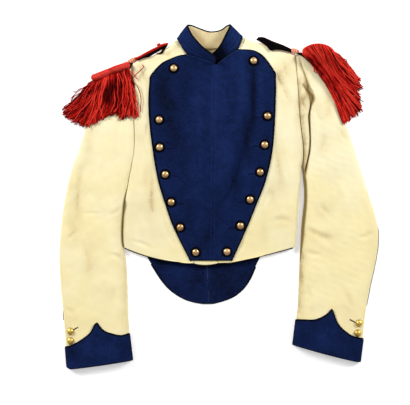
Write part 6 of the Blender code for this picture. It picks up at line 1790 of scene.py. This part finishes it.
def make_fringe(word, locks, strays, seed, roll_line):
    """A fringe of twisted wool strands that hangs from the roll and lies on the sleeve.
    On the right it is laid over the roll and hides it."""
    rnd = np.random.default_rng(seed)
    last = len(locks) - 1
    t = np.linspace(0, 1, 18)
    heap = Heap()
    crowd = 1.0 if word == "left" else 1.25
    ranks, shares, bed = fringe_bed(locks, roll_line if word == "right" else None)
    read = lambda r: [plan(at(locks, LOCK_HEAD, a + "_x", r), at(locks, LOCK_HEAD, a + "_y", r))
                      for a in ("root", "half", "tip")]
    many, deep = STRANDS[word]
    order = rnd.permutation(many)
    for k in range(many):
        layer = (order[k] / (many - 1.0)) ** 2.2
        r0 = np.clip(last * (np.clip(k + rnd.uniform(-.8, .8), 0, None) / (many - 1)) ** crowd, 0, last)
        lock = np.clip(round(r0 + rnd.normal(0, .25)), 0, last)
        r_tip = np.clip(r0 + (lock - r0) * rnd.uniform(.2, .95) + rnd.normal(0, .35), 0, last)
        root, _, _ = read(r0)
        _, half, _ = read(np.clip(r0 + (r_tip - r0) * 0.5 + rnd.normal(0, .45), 0, last))
        _, _, tip = read(r_tip)
        length = 1.03 - abs(rnd.normal(0, .045)) - (0.13 if rnd.uniform() < .10 else 0)
        half = half + rnd.normal(0, 2.3 if word == "left" else 1.3, 2)
        tip = tip + rnd.normal(0, 1.7, 2)
        ctrl = 2 * half - 0.5 * (root + tip)
        s = t * length
        xy = ((1 - s) ** 2)[:, None] * root + (2 * s * (1 - s))[:, None] * ctrl + (s * s)[:, None] * tip
        side = np.gradient(xy, axis=0)
        side = np.column_stack([-side[:, 1], side[:, 0]]) / np.maximum(np.linalg.norm(side, axis=1, keepdims=True), 1e-9)
        wave = (rnd.uniform(.6, 3.4 if word == "left" else 1.7) * np.sin(math.tau * (rnd.uniform(.8, 2.0) * t + rnd.uniform()))
                + rnd.uniform(.25, .95) * np.sin(math.tau * (rnd.uniform(2.4, 4.2) * t + rnd.uniform())))
        xy = xy + side * (wave * ease(t / .25))[:, None]
        i = int(np.clip(r0 * 2, 0, len(ranks) - 2))
        level = bed[i] + (bed[i + 1] - bed[i]) * (r0 * 2 - i)
        base = np.maximum(np.array([fringe_height(p) for p in xy]), np.interp(s, shares, level)) + 0.25 + THREAD
        low = base.copy()
        for _ in range(8):
            low[1:-1] = 0.5 * low[1:-1] + 0.25 * (low[:-2] + low[2:])
        low = np.maximum(low, base - 0.5)
        across = r0 / last
        thick = deep * np.interp(t, (0, .12, .3, 1), (.35, .9, 1, .40)) * (0.55 + 0.45 * math.sin(math.pi * np.clip(across, .02, .98)))
        z = low + (thick - THREAD) * layer * (0.94 + 0.06 * np.sin(math.tau * (t * 1.3 + layer * 7)))
        if word == "right":
            z = np.maximum(z, over_roll(xy, roll_line, THREAD + 2.2 * layer))
        lump = 1 + 0.10 * np.sin(math.tau * (t * 3 + rnd.uniform()))
        shape = tube(np.column_stack([xy, z]), THREAD * rnd.uniform(.84, 1.16) * lump, 6, twist=0.03)
        # tone: upper strands lighter, lower ones darker, and darker still in the hollows: painted shade
        bright = 0.20 if word == "left" else 0.31
        heap.add(shape, shaded(shape[0], bright + 0.42 * layer + rnd.normal(0, .32 if word == "left" else .40)))
    for tone, points in strays:
        line = spaced(through(squares(points), 8), 2.2)
        low = np.array([fringe_height(p) for p in line]) + 0.2 + THREAD
        z = low + np.interp(np.linspace(0, 1, len(line)), [0, .3, 1], [6.0, 4.0, 1.2])
        heap.add(tube(np.column_stack([line, z]), THREAD * .95, 6, twist=0.1), tone)
    return heap.piece("epaulette_%s_fringe_strands" % word, RED, "epaulette_%s_fringe" % word, "epaulette_wool")


def roll_middle(roll):
    """Middle line of a roll, resting on what lies beneath it."""
    line = np.array([plan(at(roll, ("x", "y"), "x", r), at(roll, ("x", "y"), "y", r))
                     for r in np.linspace(0, len(roll) - 1, 60)])
    heights = np.array([ground.top(p[0], p[1], 5.0) for p in line[::4]])
    heights = np.array([heights[max(0, i - 2):i + 3].max() for i in range(len(heights))])
    heights = np.interp(np.arange(60), np.arange(60)[::4], heights)
    for _ in range(12):
        heights[1:-1] = 0.5 * heights[1:-1] + 0.25 * (heights[:-2] + heights[2:])
    return spaced(np.column_stack([line, heights + ROLL_R + 0.5]), count=64)


def make_roll(word, line):
    """The wool roll: cords laid side by side over a core, drawn together at its ends."""
    s = along(line)
    full = ROLL_R - 0.4
    near = np.minimum(s, s[-1] - s)
    reach = full * np.sqrt(np.clip(1 - (1 - np.clip(near / 6.5, 0, 1)) ** 2, 0.0, 1)) + 0.35
    t = np.gradient(line, axis=0)
    t /= np.linalg.norm(t, axis=1, keepdims=True)
    up = np.cross(np.cross(t, (0, 0, 1.0)), t)
    up /= np.linalg.norm(up, axis=1, keepdims=True)
    side = np.cross(t, up)
    heap = Heap()
    heap.add(tube(line, np.maximum(reach - 0.2, 0.4), 18), 0.55)
    rnd = np.random.default_rng(17 if word == "left" else 18)
    for k in range(26):
        a = math.tau * k / 26 + 0.5 * s / s[-1] + 0.05 * np.sin(s / 7.0 + k)
        p = line + up * (np.cos(a) * reach)[:, None] + side * (np.sin(a) * reach)[:, None]
        heap.add(tube(p, 0.80 * np.clip(0.55 + reach / full, 0, 1), 6, twist=0.3), 0.50 + 0.4 * rnd.uniform())
    return heap.piece("epaulette_%s_roll_cords" % word, ROLL_RED, "epaulette_%s_roll" % word, "epaulette_wool")


def make_loop(word, loop):
    """The wound wool loop at the strap's end."""
    line = np.array([plan(at(loop, ("x", "y"), "x", r), at(loop, ("x", "y"), "y", r))
                     for r in np.linspace(0, len(loop) - 1, 24)])
    z = np.array([ground.top(p[0], p[1], 4.0) for p in line]).max() + LOOP_R + (1.4 if word == "left" else 0.6)
    line = np.column_stack([line, np.full(24, z)])
    fine = spaced(line, count=170)
    s = along(fine)
    t = np.gradient(fine, axis=0)
    t /= np.linalg.norm(t, axis=1, keepdims=True)
    up = np.tile((0, 0, 1.0), (170, 1))
    side = np.cross(t, up)
    near = np.minimum(s, s[-1] - s)
    wide = 1.60
    radius = (LOOP_R * wide - 1.1) * (0.72 + 0.28 * ease(near / 3.0))
    heap = Heap()
    heap.add(tube(line, LOOP_R * wide - 1.5, 12, flat=.75), 0.2)
    a = math.tau * s / 4.2
    heap.add(tube(fine + up * (np.cos(a) * radius * .75)[:, None] + side * (np.sin(a) * radius)[:, None], 1.6, 7), 0.8)
    return heap.piece("epaulette_%s_loop_winding" % word, ROSE, "epaulette_%s_loop" % word, "epaulette_loop")


def lean(p, z):
    """A plan position moved in a little, for a piece that lies high."""
    middle = plan(205.0, 202.5)
    return middle + (p - middle) * (1 - z / 2400.0)


def make_strap(word, strap):
    """The strap with its red face down and edge up, its black lining over it, and the cord along its far edge."""
    rows = 40
    edges = []
    for k in range(rows):
        row = (len(strap) - 1) * k / (rows - 1)
        n_, f_ = [plan(at(strap, STRAP_HEAD, a + "_x", row), at(strap, STRAP_HEAD, a + "_y", row)) for a in ("near", "far")]
        z = max(at(strap, STRAP_HEAD, "z", row), ground.top(n_[0], n_[1], 4.0) + 3.6)
        n_, f_ = lean(n_, z), lean(f_, z)
        if word == "right":
            n_, f_ = n_ + (-0.6, 1.2), f_ + (-0.6, 2.2)
        w = np.linspace(0, 1, 9)
        arch = z + 0.4 * 4 * w * (1 - w) - 1.5 * w * w
        edges.append(np.column_stack([n_ + (f_ - n_) * w[:, None], arch]))
    edges = np.array(edges)
    for _ in range(10):
        edges[1:-1, :, 2] = 0.5 * edges[1:-1, :, 2] + 0.25 * (edges[:-2, :, 2] + edges[2:, :, 2])
    face = edges - (0, 0, GAP + 1.8)
    face[:, :, :2] += (edges[:, -1:] - edges[:, :1])[:, :, :2] * 0.12 * np.linspace(1, 0, 9)[None, :, None]
    red = wall("epaulette_%s_strap_cloth" % word, face, STRAP_T, ROLL_RED_CLOTH, "epaulette_%s_strap" % word,
               "epaulette_wool")
    inset = edges.copy()
    share = 0.0
    inset[:, :, :2] += (edges[:, :1] - edges[:, -1:])[:, :, :2] * share * np.linspace(0, 1, 9)[None, :, None]
    black = wall("epaulette_%s_strap_lining_cloth" % word, inset, 1.0, BLACK, "epaulette_%s_strap_lining" % word,
                 "strap_lining")
    heap = Heap()
    if word == "left":              # the red cloth is turned over the far edge
        rim = edges[:, -1] + (edges[:, 0] - edges[:, -1]) / np.linalg.norm(
            edges[:, 0] - edges[:, -1], axis=1, keepdims=True) * 2.3 + (0, 0, 0.7)
        heap.add(tube(spaced(rim, 1.5), 2.75, 12, twist=0.4, flat=.5), 0.16)
        # a thin bright cord along the turned edge: a painted highlight
        heap.add(tube(spaced(rim + (-0.7, 1.5, 0.6), 1.5), 1.0, 8, twist=0.4), 0.9)
    else:
        heap.add(tube(spaced(face[:, -1] + (0, 0, 0.2), 1.5), 0.45, 8, twist=0.4), 0.0)
    return red, black, heap, face, inset


def tapes_and_painted_shadow(word):
    """Short black tapes and cord at the strap's ends; on the right the tape runs on along the fringe's edge as painted
    shadow.
    """
    heap = Heap()
    if word == "left":
        spots = (((166.6, 45.0, 1.8), (164.6, 47.6, 2.2), (163.0, 50.2, 2.6), (161.8, 52.4, 2.4), (159.6, 53.4, 1.4), (156.8, 53.2, .8)),
                 ((131.2, 61.6, 3.0), (130.6, 64.2, 3.3), (129.8, 67.6, 2.4)))
    else:
        spots = (((297.4, 52.2, 1.8), (300.4, 53.4, 2.8), (303.6, 55.2, 3.0), (307.4, 58.2, 3.4), (311.8, 62.4, 3.2), (316.0, 67.4, 1.8)),)
    for points in spots:
        line = spaced(through([(*plan(x, y), r) for x, y, r in points], 6), 1.2)
        z = np.array([ground.top(p[0], p[1], 2.0) for p in line]) + 1.4
        if word == "left" and points[0][0] > 150:
            z = np.maximum(z, 4.0)
        heap.add(tube(np.column_stack([line[:, :2], z]), line[:, 2], 10, flat=.5), 0.3)
    return heap.piece("epaulette_%s_black_tape_and_shadow" % word, BLACK, None, "strap_lining")


epaulettes = {}
for word, strap, loop, roll, locks, strays, seed in (
        ("left", STRAP_LEFT, LOOP_LEFT, ROLL_LEFT, LOCKS_LEFT, STRAYS_LEFT, 101),
        ("right", STRAP_RIGHT, LOOP_RIGHT, ROLL_RIGHT, LOCKS_RIGHT, STRAYS_RIGHT, 202)):
    red, black, heap, face, cover = make_strap(word, strap)
    if word == "left":              # the knob at the strap's end
        end = plan(158.6, 44.4)
        ball = [(end[0] - 1.6, end[1] - 0.6, 9.4), (end[0], end[1], 9.9), (end[0] + 1.6, end[1] + 0.6, 9.4)]
        heap.add(tube(ball, 2.5, 10), 0.35)
    else:                           # the small knot beside the fringe
        for points in (((313.8, 64.4), (314.2, 68.0), (314.0, 71.4)), ((315.4, 64.8), (316.4, 67.6), (315.8, 69.6))):
            line = spaced(through(squares(points), 6), 1.2)
            z = [ground.top(p[0], p[1], 3.0) + 2.2 for p in line]
            heap.add(tube(np.column_stack([line, z]), 1.3, 8), 1.0)
    trim = heap.piece("epaulette_%s_strap_edge" % word, ROLL_RED, None, "epaulette_wool")
    middle = roll_middle(roll)
    epaulettes[word] = dict(strap=red, lining=black, edge=trim, tape=tapes_and_painted_shadow(word), roll=make_roll(word, middle),
                            loop=make_loop(word, loop), fringe=make_fringe(word, locks, strays, seed, middle),
                            face=face, cover=cover)


# --------------------------------------------------- what each cut piece is
def declare(obj, grid, held, ring=False, slanting=False):
    """States the flat cut of a cloth piece, from its own width, length and area."""
    wide, long, area = cut_of(grid, ring, held == "laid" and not ring and not slanting)
    wide, long = round(wide, 3), round(long, 3)
    CUTS[obj.name] = (wide, long, round(area, 4))


CUTS = {}
declare(back_cloth, back, "laid")
declare(front_left, left, "laid")
declare(front_right, right, "laid")
declare(plastron[0], near, "laid")
declare(plastron[1], far, "laid")
for word in ("left", "right"):
    declare(uppers[word], sleeves[word], "laid")
    under = unders[word]
    rows = sleeves[word]
    flat = np.stack([rows[:, 0], rows[:, -1]], axis=1)
    declare(under, flat, "laid")
    declare(cuffs[word], cuff_grids[word], "laid", ring=True)
    declare(tails[word], tail_grids[word], "laid")
    e = epaulettes[word]
    declare(e["strap"], e["face"], "laid", slanting=True)
    declare(e["lining"], e["cover"], "laid", slanting=True)
declare(collar, collar_grid, "folded")
declare(lining, inner, "folded")

# ----------------------------------------------------- floor, camera and light
floor_mesh = bpy.data.meshes.new("floor")
floor_mesh.from_pydata([(-4, -4, -.0002), (4, -4, -.0002), (4, 4, -.0002), (-4, 4, -.0002)], [], [(0, 1, 2, 3)])
floor = bpy.data.objects.new("floor", floor_mesh)
bpy.context.scene.collection.objects.link(floor)
paper = bpy.data.materials.new("white_paper")
paper.use_nodes = True
shade = next(n for n in paper.node_tree.nodes if n.type == "BSDF_PRINCIPLED")
shade.inputs["Base Color"].default_value = (.93, .93, .93, 1)
shade.inputs["Roughness"].default_value = .9
shade.inputs["Specular IOR Level"].default_value = .1
shade.inputs["Emission Color"].default_value = (1, 1, 1, 1)
shade.inputs["Emission Strength"].default_value = .34
floor_mesh.materials.append(paper)

AIM = plan(205.0, 202.5) * MM          # the middle of the picture
DISTANCE, LEVEL = 2.4, .012
cam_data = bpy.data.cameras.new("camera")
cam_data.lens = 36.0 * DISTANCE / (410 * SQUARE * MM)
cam_data.sensor_width = 36.0
camera = bpy.data.objects.new("camera", cam_data)
camera.location = (AIM[0], AIM[1], DISTANCE + LEVEL)
bpy.context.scene.collection.objects.link(camera)
bpy.context.scene.camera = camera

world = bpy.data.worlds.new("studio")
bpy.context.scene.world = world
world.use_nodes = True
tree = world.node_tree
ground_node = next(n for n in tree.nodes if n.type == "BACKGROUND")
coord = tree.nodes.new("ShaderNodeTexCoord")
split = tree.nodes.new("ShaderNodeSeparateXYZ")
ramp = tree.nodes.new("ShaderNodeValToRGB")
tree.links.new(coord.outputs["Generated"], split.inputs[0])
tree.links.new(split.outputs["Z"], ramp.inputs[0])
ramp.color_ramp.elements[0].position = 0.0
ramp.color_ramp.elements[0].color = (.16, .16, .17, 1)
ramp.color_ramp.elements[1].position = .9
ramp.color_ramp.elements[1].color = (1, 1, 1, 1)
tree.links.new(ramp.outputs[0], ground_node.inputs[0])
ground_node.inputs[1].default_value = .40


def lamp(name, place, size, power, colour=(1, 1, 1)):
    """A soft area light that faces the middle of the tunic."""
    data = bpy.data.lights.new(name, "AREA")
    data.shape = "RECTANGLE"
    data.size, data.size_y = size
    data.energy = power
    data.color = colour
    obj = bpy.data.objects.new(name, data)
    obj.location = place
    obj.rotation_euler = (Vector((AIM[0], AIM[1], 0)) - Vector(place)).to_track_quat("-Z", "Y").to_euler()
    bpy.context.scene.collection.objects.link(obj)


lamp("over", (0.0, 0.5, 3.4), (1.6, 1.2), 7.0)
lamp("left_bank", (-3.6, 2.7, 2.5), (1.5, 1.5), 242.0)
lamp("right_bank", (3.7, 2.4, 2.5), (1.5, 1.5), 218.0)

scene = bpy.context.scene
scene.view_settings.view_transform = "Standard"
scene.view_settings.look = "None"
scene.view_settings.exposure = 0.0
scene.view_settings.gamma = 1.0

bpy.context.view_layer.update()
for name, cut in CUTS.items():
    print("CUT", name, cut)
